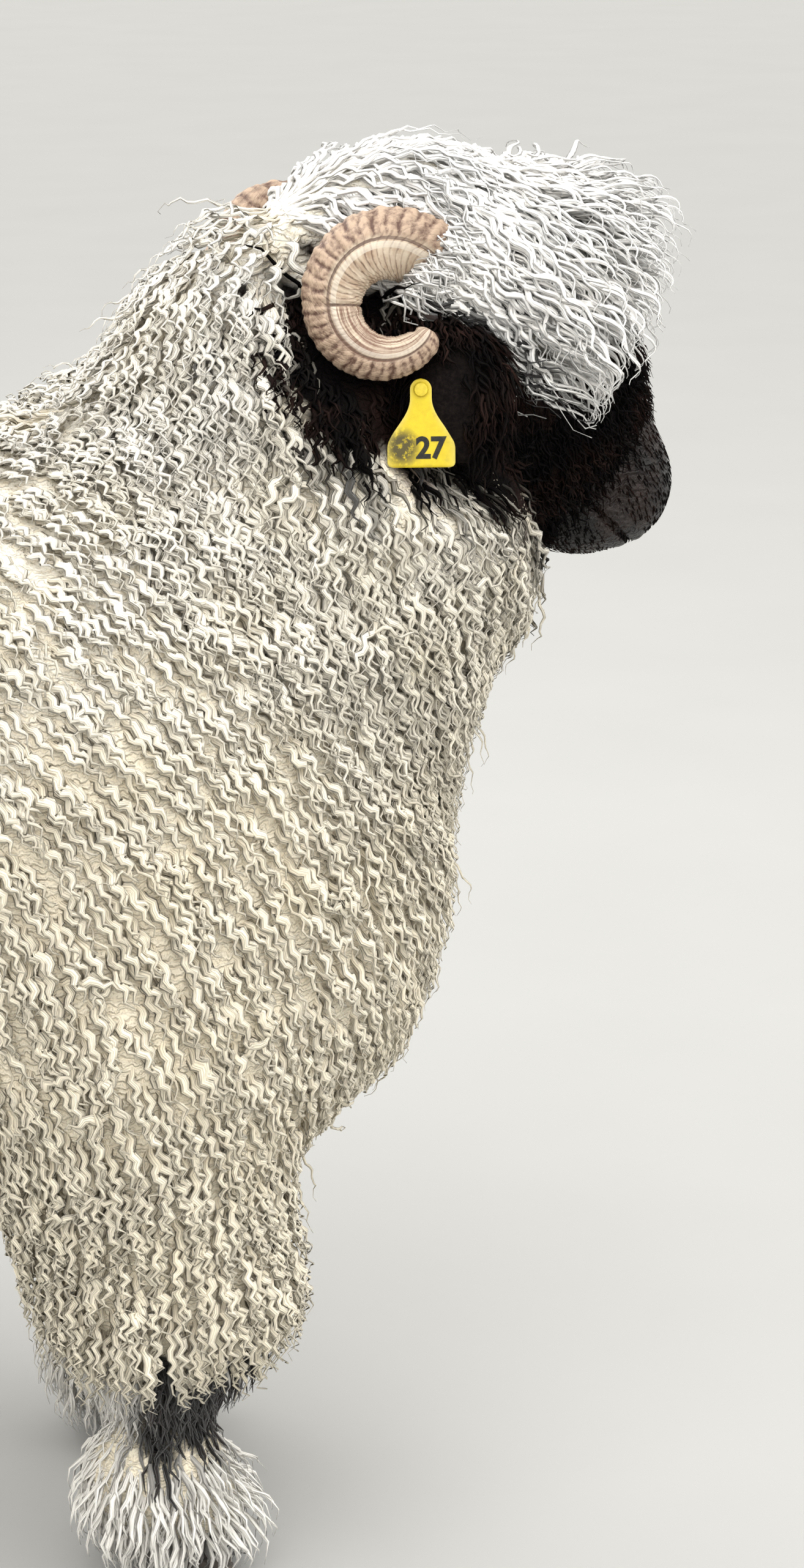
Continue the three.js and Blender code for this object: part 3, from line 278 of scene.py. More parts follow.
def flesh(points):
    """The distance to the whole body under its coat: trunk and head melted together, then legs and tail."""
    trunk, head, leg, tail = regions(points)
    return melt(melt(melt(trunk, head, 30 * MM), leg, 26 * MM), tail, 20 * MM)


def slope(field, points, step=0.5 * MM):
    """A field's direction of growth, from its values at the four corners of a small tetrahedron."""
    total = np.zeros_like(points)
    for corner in ((1, -1, -1), (-1, -1, 1), (-1, 1, -1), (1, 1, 1)):
        corner = np.array(corner, float)
        total += field(points + step * corner)[:, None] * corner
    return unit(total)


HORN_SPLAY = math.radians(28)
HORN_LEAN = math.radians(12)
HORN_COIL_RADIUS = 37 * MM
HORN_ROOT_WIDTH = 47 * MM
HORN_TIP_WIDTH = 18 * MM
HORN_SEAM = 1.35
HORN_STEP = 0.54
HORN_KNOB_ROWS = 34
HORN_KNOB_COLUMNS = 14
HORN_FACE_LINES = 46


def splayed_forward(side):
    """The level direction that looks forward and out past one side of the head."""
    return HEAD_LEVEL * math.cos(HORN_SPLAY) + side * HEAD_LEFT * math.sin(HORN_SPLAY)


def horn_axes(side):
    """The directions in which a horn coils, and the one across its coil."""
    forward = splayed_forward(side)
    away = side * HEAD_LEFT * math.cos(HORN_SPLAY) - HEAD_LEVEL * math.sin(HORN_SPLAY)
    up = np.array([0.0, 0.0, 1.0]) * math.cos(HORN_LEAN) - away * math.sin(HORN_LEAN)
    lateral = unit(np.cross(forward, up))
    return forward, up, lateral if lateral @ away > 0 else -lateral


HORN_CENTRES = {side: on_head(-29, side * 94, -87) for side in (-1, 1)}
EAR_MIDDLES = {side: on_head(40, side * 122, -105) for side in (-1, 1)}
PARTED_SHARE = 0.25


def bell(distance, width):
    """A bump that falls off as the square exponential of distance over width."""
    return np.exp(-((distance / width) ** 2))


def parting(points):
    """The share of its height that the wool keeps: it lies low behind the coil of a horn and behind an
    ear, and runs on over the horn's root."""
    kept = np.ones(len(points))
    for side in (-1, 1):
        forward, up, _ = horn_axes(side)
        reach = points - HORN_CENTRES[side]
        over_root = bell(np.arctan2(reach @ up, reach @ forward) - 0.4, 0.8)
        by_horn = np.maximum(smooth(np.linalg.norm(reach, axis=1), 46 * MM, 94 * MM), over_root)
        by_ear = smooth(np.linalg.norm(points - EAR_MIDDLES[side], axis=1), 40 * MM, 90 * MM)
        kept = np.minimum(kept, np.minimum(by_horn, by_ear))
    return mix(PARTED_SHARE, 1.0, kept)


def crown_share(along, crest):
    """1 on the top and back of the head, where the long white wool grows, and 0 on the face."""
    return smooth(crest - 0.55 * along, -110 * MM, -60 * MM) * (1 - smooth(along, 60 * MM, 120 * MM))


def eye_distance(points):
    """How far points are from the nearer eyeball's centre."""
    return np.minimum(*[np.linalg.norm(points - middle, axis=1) for middle in EYE_CENTRES.values()])


def fore_or_hind(x, fore, hind):
    """One value on the fore half of the body, and another on the hind half."""
    return np.where(x > MID_BODY_X, fore, hind)


def leg_share(trunk, head, leg, z):
    """1 on a leg and 0 on the rest of the body, from the distances to them and the height."""
    return smooth(np.minimum(trunk, head) - leg, -10 * MM, 14 * MM) * (z < LEG_TOP_Z)


def open_coat(points):
    """How far the tips of the coat would stand off the flesh if nothing parted it."""
    trunk, head, leg, tail = regions(points)
    x, z = points[:, 0] - SHIFT_X, points[:, 2]
    along, _, crest = head_local(points)
    on_trunk = mix(BODY_COAT, NECK_COAT, smooth(x + z, *NECK_RAMP))
    face = mix(FACE_COAT, MUZZLE_COAT, smooth(along, 150 * MM, 215 * MM))
    on_the_head = mix(face, CROWN_COAT, crown_share(along, crest))
    on_the_head = on_the_head * mix(0.06, 1.0, smooth(eye_distance(points), 19 * MM, 41 * MM))
    hem = fore_or_hind(x, FORE_HEM_Z, HIND_HEM_Z)
    shank = smooth(z, HOOF_HEIGHT - 12 * MM, HOOF_HEIGHT + 6 * MM) * (1 - smooth(z, 66 * MM, hem - 14 * MM))
    bare = np.where(z > FETLOCK_Z, KNEE_COAT, FOOT_COAT)
    trouser = LEG_COAT * mix(HEM_SHARE, 1.0, smooth(z, hem, hem + 100 * MM))
    on_leg = mix(mix(bare, CANNON_COAT, shank), trouser, smooth(z, hem - 12 * MM, hem + 22 * MM))
    depth = mix(on_trunk, on_the_head, smooth(trunk - head, -12 * MM, 12 * MM))
    depth = depth + NAPE_RISE * bell(np.linalg.norm(points - on_head(-140, 0, -70), axis=1), 75 * MM)
    depth = mix(depth, on_leg, leg_share(trunk, head, leg, z))
    return mix(depth, TAIL_COAT, smooth(np.minimum(trunk, leg) - tail, -4 * MM, 12 * MM))


def coat(points):
    """How far the tips of the coat stand off the flesh near each point."""
    return open_coat(points) * parting(points)


def underwool(points):
    """The height of the skin's surface over the flesh: the dense wool under the locks, which is a share
    of the coat's depth, and a plainer share of it where the coat is short."""
    depth = coat(points)
    along, _, crest = head_local(points)
    by_poll = 1 - smooth(np.linalg.norm(points - on_head(10, 0, -20), axis=1), 120 * MM, 175 * MM)
    on_crown = mix(POLL_UNDERWOOL_SHARE, BROW_UNDERWOOL_SHARE, smooth(along, -10 * MM, 80 * MM))
    share = mix(UNDERWOOL_SHARE, on_crown, by_poll * crown_share(along, crest))
    share = mix(SHANK_UNDERWOOL_SHARE, share, smooth(points[:, 2], 0.12, 0.17))
    return depth * mix(SHORT_COAT_SHARE, share, smooth(depth, 6 * MM, 20 * MM))


def skin_level(points):
    """Zero on the skin, negative inside it. Far from the skin it is the distance to the flesh alone."""
    level = flesh(points)
    near = np.abs(level - 20 * MM) < 40 * MM
    level[near] -= underwool(points[near])
    return level


def blackness(points, spread=0.0):
    """The breed's markings, from 0 on white wool to 1 on black: face, ears and the wool behind them, the
    fronts of the knees, the hocks and the feet. On the head they can spread by a distance."""
    trunk, head, leg, _ = regions(points)
    along, _, crest = head_local(points)
    x, y, z = points[:, 0] - SHIFT_X, points[:, 1], points[:, 2]
    drift = 6 * MM * np.sin(x * 190 + z * 130) + 5 * MM * np.sin(z * 260 - y * 170)
    face = (1 - smooth(crown_share(along, crest), 0.25, 0.55)) * smooth(along + drift, 0, 26 * MM)
    face = face * smooth(trunk - head + drift * 0.5 + spread, -16 * MM, 0)
    patches = [
        np.linalg.norm(points - on_head(along_at, side * EAR_BLACK_ASIDE, crest_at), axis=1) - size * MM
        for side in (-1, 1)
        for along_at, crest_at, size in EAR_BLACK
    ]
    ear_patch = 1 - smooth(np.minimum.reduce(patches) + drift * 1.6 - spread, -10 * MM, 8 * MM)
    front = fore_or_hind(x, smooth(x, *KNEE_FRONT), smooth(-x, *HOCK_BACK))
    low, high = (fore_or_hind(x, fore, hind) for fore, hind in zip(KNEE_HEIGHTS, HOCK_HEIGHTS))
    knee = front * smooth(z + drift, low, low + KNEE_EDGE) * (1 - smooth(z + drift, high - KNEE_EDGE, high))
    foot = 1 - smooth(z + drift * 0.5, *FOOT_BLACK)
    on_leg = leg_share(trunk, head, leg, z) * np.maximum(knee, foot)
    return np.clip(np.maximum.reduce([face, ear_patch, on_leg]), 0, 1)


# Which way the coat lies.
def tangent(direction, normal):
    """A direction laid flat on the surface."""
    return unit(direction - (direction * normal).sum(1)[:, None] * normal)


def trunk_lie(points, normal):
    """Down the sides and forward, most so high on the flank. Along the spine it lies back and outward."""
    x, y, z = points[:, 0] - SHIFT_X, points[:, 1], points[:, 2]
    on_neck = smooth(x + z, *NECK_RAMP)
    forward = mix(mix(0.35, 0.85, smooth(z, 0.42, 0.66)), 0.10, on_neck) * (1 - smooth(-x, 0.25, 0.45))
    top = np.maximum(0, normal[:, 2])
    on_spine = top ** 2 * (1 - smooth(np.abs(y), 0, 70 * MM))
    outward = np.clip(y / (40 * MM), -1, 1) * top * 1.1
    return tangent(np.stack([forward - 1.2 * on_spine, outward, -np.ones_like(x)], 1), normal)


def hanging_lie(points, normal):
    """Straight down."""
    return tangent(np.broadcast_to([0.0, 0.0, -1.0], points.shape), normal)


def crown_lie(points, normal):
    """Forward over the brow and out to the temples."""
    _, left, _ = head_local(points)
    direction = 0.9 * HEAD_LEVEL + (left / (45 * MM))[:, None] * HEAD_LEFT
    direction[:, 2] = -0.55
    return tangent(direction, normal)


def face_lie(points, normal):
    """Forward and down the cheek."""
    return tangent(np.broadcast_to(0.6 * HEAD_NOSE * [1, 1, 0] - [0, 0, 1], points.shape), normal)


# The skin: one closed surface.
def level_surface(field, low, high, cell):
    """The surface where a field is zero, as one vertex in each grid cell that it crosses, set at the mean
    of the crossings on that cell's edges, and one quad round each grid edge that it crosses."""
    counts = np.ceil((high - low) / cell).astype(int) + 1
    axes = [low[k] + cell * np.arange(counts[k]) for k in range(3)]
    grid = np.stack(np.meshgrid(*axes, indexing="ij"), -1).reshape(-1, 3)
    value = np.concatenate([field(part) for part in np.array_split(grid, 1 + len(grid) // 12000)])
    value = value.reshape(counts)
    inside = value < 0
    cells = counts - 1
    place = np.zeros((*cells, 3))
    crossings = np.zeros(tuple(cells))
    quads = []
    for axis in range(3):
        near = tuple(slice(0, -1) if k == axis else slice(None) for k in range(3))
        far = tuple(slice(1, None) if k == axis else slice(None) for k in range(3))
        crossed = inside[near] != inside[far]
        change = np.where(crossed, value[near] - value[far], 1.0)
        share = np.where(crossed, value[near] / change, 0.0)
        u, v = [(axis + 1) % 3, (axis + 2) % 3]
        for du in (0, 1):
            for dv in (0, 1):
                part = [slice(None)] * 3
                part[u] = slice(du, du + cells[u])
                part[v] = slice(dv, dv + cells[v])
                part = tuple(part)
                hit = crossed[part]
                crossings += hit
                place[..., axis] += hit * share[part]
                place[..., u] += hit * du
                place[..., v] += hit * dv
        i = np.argwhere(crossed)
        i = i[(i[:, u] > 0) & (i[:, v] > 0) & (i[:, u] < cells[u]) & (i[:, v] < cells[v])]
        corner = []
        for du, dv in ((-1, -1), (0, -1), (0, 0), (-1, 0)):
            j = i.copy()
            j[:, u] += du
            j[:, v] += dv
            corner.append(np.ravel_multi_index(j.T, tuple(cells)))
        quad = np.stack(corner, 1)
        outward = inside[tuple(i.T)]
        quads.append(np.where(outward[:, None], quad, quad[:, ::-1]))
    used = crossings.reshape(-1) > 0
    number = np.cumsum(used) - 1
    corner_of = np.argwhere(crossings > 0)
    points = low + cell * (corner_of + place.reshape(-1, 3)[used] / crossings.reshape(-1)[used][:, None])
    quads = number[np.concatenate(quads)]
    triangles = np.concatenate([quads[:, [0, 1, 2]], quads[:, [0, 2, 3]]])
    return points, triangles


def side_by_side(*columns):
    """Columns of numbers put together as rows."""
    return np.stack(columns, 1)


def refined(points, triangles, wanted):
    """Each edge between two wanted points is halved, and each triangle is split by its halved edges, so
    that neighbours still share their points."""
    edges = np.sort(triangles[:, [0, 1, 1, 2, 2, 0]].reshape(-1, 2), axis=1)
    unique, back = np.unique(edges, axis=0, return_inverse=True)
    halved = wanted[unique].all(axis=1)
    number = np.where(halved, len(points) + np.cumsum(halved) - 1, -1)
    points = np.concatenate([points, points[unique[halved]].mean(axis=1)])
    middle = number[back.reshape(-1)].reshape(-1, 3)
    count = (middle >= 0).sum(axis=1)
    kept = [triangles[count == 0]]
    for turn in range(3):
        t, m = np.roll(triangles, -turn, axis=1), np.roll(middle, -turn, axis=1)
        one = (count == 1) & (m[:, 0] >= 0)
        kept.append(side_by_side(t[one, 0], m[one, 0], t[one, 2]))
        kept.append(side_by_side(m[one, 0], t[one, 1], t[one, 2]))
        two = (count == 2) & (m[:, 2] < 0)
        kept.append(side_by_side(m[two, 0], t[two, 1], m[two, 1]))
        kept.append(side_by_side(t[two, 0], m[two, 0], m[two, 1]))
        kept.append(side_by_side(t[two, 0], m[two, 1], t[two, 2]))
    t, m = triangles[count == 3], middle[count == 3]
    kept += [side_by_side(t[:, k], m[:, k], m[:, (k + 2) % 3]) for k in range(3)]
    kept.append(m)
    return points, np.concatenate(kept)


def settle(points, rounds=2):
    """Points moved onto the skin along its slope."""
    for _ in range(rounds):
        points = points - slope(skin_level, points) * skin_level(points)[:, None]
    return points


def eye_frame(side):
    """The directions out of an eye, along its slit and over it."""
    out = unit(0.3 * HEAD_NOSE + side * HEAD_LEFT + 0.12 * HEAD_CREST)
    along = unit(HEAD_NOSE - out * (HEAD_NOSE @ out))
    over = np.cross(along, out)
    return out, along, over if over @ HEAD_CREST > 0 else -over


def segment_distance(points, start, end):
    """How far points are from a straight line between two places."""
    axis = end - start
    share = np.clip((points - start) @ axis / (axis @ axis), 0, 1)
    return np.linalg.norm(points - start - share[:, None] * axis, axis=1)


MOUTH_Z = -76 * MM
NOSE_END = 236 * MM
LID_HALF_LENGTH = 15 * MM
LID_HALF_HEIGHT = 8.5 * MM
LID_THICKNESS = 1.0 * MM
BEHIND_EYE = -3 * MM


def face_relief(points):
    """How far the skin is raised over the face's plain form: lips, the line of the mouth, nostrils, the
    groove under the nose, and the fold and the vein before each eye, each a bell along its own line."""
    along, left, crest = head_local(points)
    mouth = MOUTH_Z - 5 * MM * smooth(np.abs(left), 10 * MM, 40 * MM)
    mouth = mouth + 9 * MM * smooth(NOSE_END - along, 20 * MM, 70 * MM)
    reach = smooth(along, 172 * MM, 190 * MM)
    raised = -3.4 * MM * bell(crest - mouth, 1.7 * MM) * reach
    raised += 1.6 * MM * bell(crest - mouth - 7 * MM, 5 * MM) * reach
    raised += 1.2 * MM * bell(crest - mouth + 6 * MM, 5 * MM) * reach
    above_mouth = smooth(crest, mouth, mouth + 6 * MM) * (1 - smooth(crest, -52 * MM, -44 * MM))
    raised -= 2.4 * MM * bell(left, 1.6 * MM) * above_mouth * smooth(along, NOSE_END, 252 * MM)
    for side in (-1, 1):
        slit = segment_distance(points, on_head(266, side * 11, -50), on_head(252, side * 27, -35))
        raised -= 8 * MM * bell(slit, 2.6 * MM)
        raised += 2.0 * MM * bell(slit - 6 * MM, 2.6 * MM)
        fold = segment_distance(points, on_head(112, side * 58, -46), on_head(134, side * 50, -66))
        raised -= 1.6 * MM * bell(fold, 2.4 * MM)
        vein = segment_distance(points, on_head(120, side * 44, -70), on_head(190, side * 40, -58))
        raised += 1.1 * MM * bell(vein, 4 * MM)
    return raised


def with_lids(points):
    """The skin near each eye laid over the eyeball: inside the almond opening it sinks behind the ball,
    round it stand the two lids, and beyond them it runs back to the face."""
    for side, middle in EYE_CENTRES.items():
        out, slit, over = eye_frame(side)
        reach = points - middle
        a, o, d = reach @ slit, reach @ over, reach @ out
        ring = np.sqrt((a / LID_HALF_LENGTH) ** 2 + (o / LID_HALF_HEIGHT) ** 2)
        ball_height = np.sqrt(np.maximum((EYE_RADIUS + LID_THICKNESS) ** 2 - a * a - o * o, 0))
        lid = ball_height + 3.0 * MM * bell(ring - 1.22, 0.22) + 1.2 * MM * bell(ring - 1.8, 0.2)
        wanted = mix(lid, BEHIND_EYE, smooth(1.06 - ring, 0, 0.1))
        share = (1 - smooth(ring, 1.7, 2.7)) * (d > -6 * MM) * (np.linalg.norm(reach, axis=1) < 45 * MM)
        points = points + (share * (wanted - d))[:, None] * out
    return points


SKIN_CELL = 7 * MM
# Boxes on the head, in millimetres: how far back they reach, how far aside, how low and how high.
FACE_BOX = (60, 90, -150, 40)
FACE_SURROUNDS = (40, 100, -160, 60)
MUZZLE_FROM = 178 * MM


def in_head_box(points, back, aside, low, high):
    """Which points lie in a box on the head."""
    along, left, crest = head_local(points)
    return (along > back * MM) & (np.abs(left) < aside * MM) & (crest > low * MM) & (crest < high * MM)


def skin_surface():
    """The level surface of the skin, with finer triangles on the face, then the muzzle and round the
    eyes, and round the eyes once more. The new points settle on the skin, and the face's relief and lids
    come last."""
    low, high = np.array(cad_box[0]) - 0.02, np.array(cad_box[1]) + 0.02
    points, triangles = level_surface(skin_level, low, high, SKIN_CELL)
    points = settle(points)
    for round_number in range(3):
        face = in_head_box(points, *FACE_BOX)
        muzzle = face & (head_local(points)[0] > MUZZLE_FROM)
        near_eye = eye_distance(points) < (40 - 5 * round_number) * MM
        wanted = (face, muzzle | near_eye, near_eye)[round_number]
        points, triangles = refined(points, triangles, wanted)
        on_head_front = in_head_box(points, *FACE_SURROUNDS)
        points[on_head_front] = settle(points[on_head_front], 1)
    on_head_front = in_head_box(points, *FACE_SURROUNDS)
    face_points = points[on_head_front]
    face_points = face_points + slope(skin_level, face_points) * face_relief(face_points)[:, None]
    points[on_head_front] = with_lids(face_points)
    return points, triangles


def new_object(name, data):
    """An object in the scene."""
    made = bpy.data.objects.new(name, data)
    bpy.context.scene.collection.objects.link(made)
    return made


def new_mesh(name, points, faces, attributes=None, corner_uv=None, smooth_faces=True):
    """A mesh object from arrays: points, and faces as arrays of equally many corners each."""
    mesh = bpy.data.meshes.new(name)
    faces = faces if isinstance(faces, list) else [faces]
    corners = np.concatenate([part.reshape(-1) for part in faces]).astype(np.int32)
    sizes = np.concatenate([np.full(len(part), part.shape[1]) for part in faces])
    mesh.vertices.add(len(points))
    mesh.vertices.foreach_set("co", np.asarray(points, np.float32).reshape(-1))
    mesh.loops.add(len(corners))
    mesh.loops.foreach_set("vertex_index", corners)
    mesh.polygons.add(len(sizes))
    mesh.polygons.foreach_set("loop_start", np.concatenate([[0], np.cumsum(sizes)[:-1]]).astype(np.int32))
    mesh.polygons.foreach_set("use_smooth", np.full(len(sizes), smooth_faces))
    mesh.update(calc_edges=True)
    for key, values in (attributes or {}).items():
        layer = mesh.attributes.new(key, "FLOAT", "POINT")
        layer.data.foreach_set("value", np.asarray(values, np.float32))
    if corner_uv is not None:
        layer = mesh.uv_layers.new(name="OFBake")
        layer.data.foreach_set("uv", np.asarray(corner_uv, np.float32)[corners].reshape(-1))
    return new_object(name, mesh)


def finish_piece(piece, slot, material, *nodes):
    """The piece rides on the body, takes its material, and stands for the nodes that it replaces. The slot
    is not used."""
    piece.data.materials.append(material)
    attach(piece, "root")
    if nodes:
        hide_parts(*nodes)
    return piece


# The coat.
TRIES_IN_A_CELL = 9
CELL_PRIMES = np.array([73856093, 19349663, 83492791])


def strewn(points, triangles, spacing, keep, rng):
    """Places spread over the skin: random ones on the triangles by their area, and then the first of them
    in each cell of a cubic grid as wide as the spacing."""
    a, b, c = points[triangles[:, 0]], points[triangles[:, 1]], points[triangles[:, 2]]
    area = np.linalg.norm(np.cross(b - a, c - a), axis=1) / 2
    wanted = keep((a + b + c) / 3)
    area = area * wanted
    count = int(TRIES_IN_A_CELL * area.sum() / spacing ** 2)
    pick = rng.choice(len(area), size=count, p=area / area.sum())
    u, v = rng.random(count), rng.random(count)
    flip = u + v > 1
    u, v = np.where(flip, 1 - u, u), np.where(flip, 1 - v, v)
    places = a[pick] + u[:, None] * (b - a)[pick] + v[:, None] * (c - a)[pick]
    cells = np.floor(places / spacing).astype(np.int64)
    key = np.bitwise_xor.reduce(cells * CELL_PRIMES, axis=1)
    _, first = np.unique(key, return_index=True)
    return places[np.sort(first)]


def ripple(points, seed):
    """A soft pattern from -1 to 1 in space: the mean of a few sines along seeded directions."""
    rng = np.random.default_rng(seed)
    total = np.zeros(len(points))
    for _ in range(5):
        way = unit(rng.normal(size=3)) * rng.uniform(35, 90)
        total += np.sin(points @ way + rng.uniform(0, math.tau))
    return total / 5


SKIN_CENTRE_LINE = np.array([
    at(-520, 0, 600), at(-300, 0, 540), at(60, 0, 540), at(260, 4, 700), at(350, 14, 840),
    on_head(60, 0, -55), on_head(245, 0, -60),
])
FORELEG_X, HINDLEG_X = 0.172, -0.42
LEG_STRIP_HEIGHT = 0.40


def unwrap(points):
    """Places on a flat sheet: how far along the body's centre line, and the angle round it. Each leg has
    a strip of its own, by height and angle."""
    best = np.full(len(points), 1e9)
    across = np.zeros(len(points))
    turn = np.zeros(len(points))
    lengths = np.linalg.norm(np.diff(SKIN_CENTRE_LINE, axis=0), axis=1)
    begins = np.concatenate([[0], np.cumsum(lengths)])
    for k in range(len(lengths)):
        start, axis = SKIN_CENTRE_LINE[k], SKIN_CENTRE_LINE[k + 1] - SKIN_CENTRE_LINE[k]
        share = np.clip((points - start) @ axis / (axis @ axis), 0, 1)
        off = points - start - share[:, None] * axis
        far = np.linalg.norm(off, axis=1)
        nearer = far < best
        best = np.where(nearer, far, best)
        across = np.where(nearer, (begins[k] + share * lengths[k]) / begins[-1], across)
        over = np.cross(unit(axis), [0.0, 1.0, 0.0])
        turn = np.where(nearer, np.arctan2(off[:, 1], off @ -over) / (math.tau) + 0.5, turn)
    trunk, head, leg, _ = regions(points)
    is_leg = (leg < np.minimum(trunk, head)) & (points[:, 2] < LEG_STRIP_HEIGHT)
    right = points[:, 1] < 0
    middle_x = fore_or_hind(points[:, 0], FORELEG_X, HINDLEG_X) + SHIFT_X
    middle_y = np.where(right, -FOOT_HALF_TRACK, FOOT_HALF_TRACK)
    angle = np.arctan2(points[:, 1] - middle_y, points[:, 0] - middle_x) / math.tau + 0.5
    column = fore_or_hind(points[:, 0], 2, 0) + right
    on_strip = side_by_side((column + 0.04 + 0.9 * angle) / 4, 0.70 + 0.28 * points[:, 2] / LEG_STRIP_HEIGHT)
    on_body = side_by_side(0.01 + 0.97 * across, 0.01 + 0.66 * turn)
    return np.where(is_leg[:, None], on_strip, on_body)


PATCH = 0.003
DOWN = np.array([0.0, 0.0, -1.0])
FLOOR_CLEARANCE = 1.5 * MM
SOFT_EDGE = 8 * MM
ROOM_SHARE = 0.03
ROOM_PROUD = 10 * MM
ROOM_MARGIN = 3 * MM
ROOM_TOP_MARGIN = 2 * MM
CREST_WAY = np.array([0.50, 0.0, -0.86])


def swung(aim, normal, angle):
    """Directions turned on the surface by an angle each."""
    return aim * np.cos(angle)[:, None] + np.cross(normal, aim) * np.sin(angle)[:, None]


def within_room(line):
    """Lines drawn in softly where they would leave the room that the coat may fill: past its edge the
    excess is a hyperbolic tangent of itself."""
    low, high = np.array(cad_box[0]), np.array(cad_box[1])
    spare = ROOM_SHARE * (high - low) + ROOM_PROUD - SOFT_EDGE - ROOM_MARGIN
    spare[2] -= ROOM_TOP_MARGIN
    over, under = line - (high + spare), (low - spare) - line
    line = np.where(over > 0, high + spare + SOFT_EDGE * np.tanh(over / SOFT_EDGE), line)
    return np.where(under > 0, low - spare - SOFT_EDGE * np.tanh(under / SOFT_EDGE), line)


def lock_lines(roots, style, rng):
    """The middle lines of the locks. From its root a lock walks over the flesh along the lie of the coat,
    rises to its height there, and bends towards the ground where it is loose. Where it comes under its
    height it is pushed out, and where it is over it is drawn in by its cling. On that line rides a wave:
    side to side by a sine, and out and in by a cosine of a lesser size. A share of the locks is wild and
    heads any way."""
    count = len(roots)
    stations = style["stations"]
    length = style["length"](roots) * (1 + style["vary"] * rng.uniform(-1, 1, count))
    uneven = 1 + 0.10 * ripple(roots, 5) + style["uneven"] * rng.uniform(-1, 1, count)
    tip_height = open_coat(roots) * style["tip"](roots) * uneven
    point = roots.copy()
    root_height = flesh(point) - 3 * MM
    normal = slope(flesh, point)
    wild = rng.random(count) < style["wild"]
    swing = np.where(wild, rng.uniform(-math.pi, math.pi, count), style["stray"] * rng.uniform(-1, 1, count))
    heading = swung(style["lie"](point, normal), normal, swing)
    line, normals = [point], [normal]
    for k in range(1, len(stations)):
        aim = swung(style["lie"](point, normal), normal, swing * (1 - 0.5 * stations[k]))
        aim = unit(mix(aim, DOWN, style["droop"] * stations[k]))
        heading = unit(mix(heading, aim, style["turn"]))
        point = point + heading * (length * (stations[k] - stations[k - 1]))[:, None]
        tall = tip_height * parting(point)
        rise = np.sin(np.minimum(stations[k] * 1.15, 1) * math.pi / 2)
        want = mix(np.minimum(root_height, tall), tall, rise)
        normal = slope(flesh, point)
        short = want - flesh(point)
        point = point + normal * np.where(short > 0, short, short * style["cling"])[:, None]
        line.append(point)
        normals.append(normal)
    line, normals = np.array(line), np.array(normals)
    along = unit(np.gradient(line, axis=0))
    side = unit(np.cross(normals, along))
    up = np.cross(along, side)
    share = stations[:, None]
    coherent = roots @ CREST_WAY + 5 * MM * ripple(roots, 9)
    start = math.tau * coherent / style["period"]
    start = start + style["jitter"] * rng.uniform(-math.pi, math.pi, count)
    period = style["period"] * mix(1.0, style["tightening"], share)
    phase = start + math.tau * share * length / period
    grown = smooth(share, 0.06, 0.30) * style["wave"] * (1 + 0.25 * rng.uniform(-1, 1, count))
    grown = grown * mix(1.0, style["curl"], smooth(share, 0.6, 1.0))
    line = line + (grown * np.sin(phase))[..., None] * side
    line = line + (style["depth"] * grown * np.cos(phase))[..., None] * up
    line = within_room(line)
    line[..., 2] = np.maximum(line[..., 2], FLOOR_CLEARANCE + style["width"] / 2)
    return line, normals


def lock_mesh(line, normals, style, rng):
    """A lock is a three-sided tube on its line, its ridge outward. Its half width swells from the root,
    keeps its size and tapers at the tip, and it is flatter than it is wide."""
    rings, count = line.shape[:2]
    stations = style["stations"][:, None]
    along = unit(np.gradient(line, axis=0))
    side = unit(np.cross(normals, along))
    up = np.cross(along, side)
    width = style["width"] / 2 * (1 + 0.28 * rng.uniform(-1, 1, count))
    shape = mix(0.7, 1.0, smooth(stations, 0, 0.3)) * mix(1.0, 0.14, smooth(stations, style["taper"], 1.0))
    half = (shape * width)[..., None]
    corners = []
    for angle in (90, 210, 330):
        a = math.radians(angle)
        corners.append(line + half * (math.cos(a) * side + style["flat"] * math.sin(a) * up))
    points = np.stack(corners, 2)
    index = np.arange(rings * count * 3).reshape(rings, count, 3)
    near, far = index[:-1], index[1:]
    quads = []
    for k in range(3):
        after = (k + 1) % 3
        quad = np.stack([near[..., k], near[..., after], far[..., after], far[..., k]], -1)
        quads.append(quad.reshape(-1, 4))
    caps = [index[0][:, ::-1], index[-1]]
    return points.reshape(-1, 3), np.concatenate(quads), np.concatenate(caps)


PIECE_TRIANGLES = 185000


def lock_piece(name, roots, line, normals, style, mark, rng, slot, material):
    """One piece of coat from the lines of its locks. Each lock keeps how far along and across it a point
    lies, its marking and a shade of its own, and has its patch of the baking map at its root's place."""
    points, quads, caps = lock_mesh(line, normals, style, rng)
    whole = (*line.shape[:2], 3)
    stations = np.broadcast_to(style["stations"][:, None, None], whole).reshape(-1)
    ring_side = np.broadcast_to(np.array([0.5, 0.0, 1.0]), whole).reshape(-1)

    def each(values):
        """A lock's value at every point of it."""
        return np.broadcast_to(values[None, :, None], whole).reshape(-1)

    root_u, root_v = unwrap(roots).T
    uv = side_by_side(each(root_u) + PATCH * ring_side, each(root_v) + PATCH * stations)
    shade = rng.random(len(roots))
    attributes = {"along": stations, "across": ring_side, "mark": each(mark), "shade": each(shade)}
    piece = new_mesh(name, points, [quads, caps], attributes, uv)
    return finish_piece(piece, slot, material)


def grow(name, roots, style, seed, slot, material):
    """Pieces of coat, each of as many locks as keep it under its limit of triangles, in order from tail
    to nose."""
    rng = np.random.default_rng(seed)
    roots = roots[np.argsort(roots[:, 0])]
    rings = len(style["stations"])
    per_piece = PIECE_TRIANGLES // ((rings - 1) * 6 + 2)
    parts = max(1, math.ceil(len(roots) / per_piece))
    for number, part in enumerate(np.array_split(roots, parts)):
        line, normals = lock_lines(part, style, rng)
        clear = style["clear"](line)
        line, normals, part = line[:, clear], normals[:, clear], part[clear]
        label = f"{name}_{number + 1}" if parts > 1 else name
        lock_piece(label, part, line, normals, style, blackness(part), rng, slot, material)


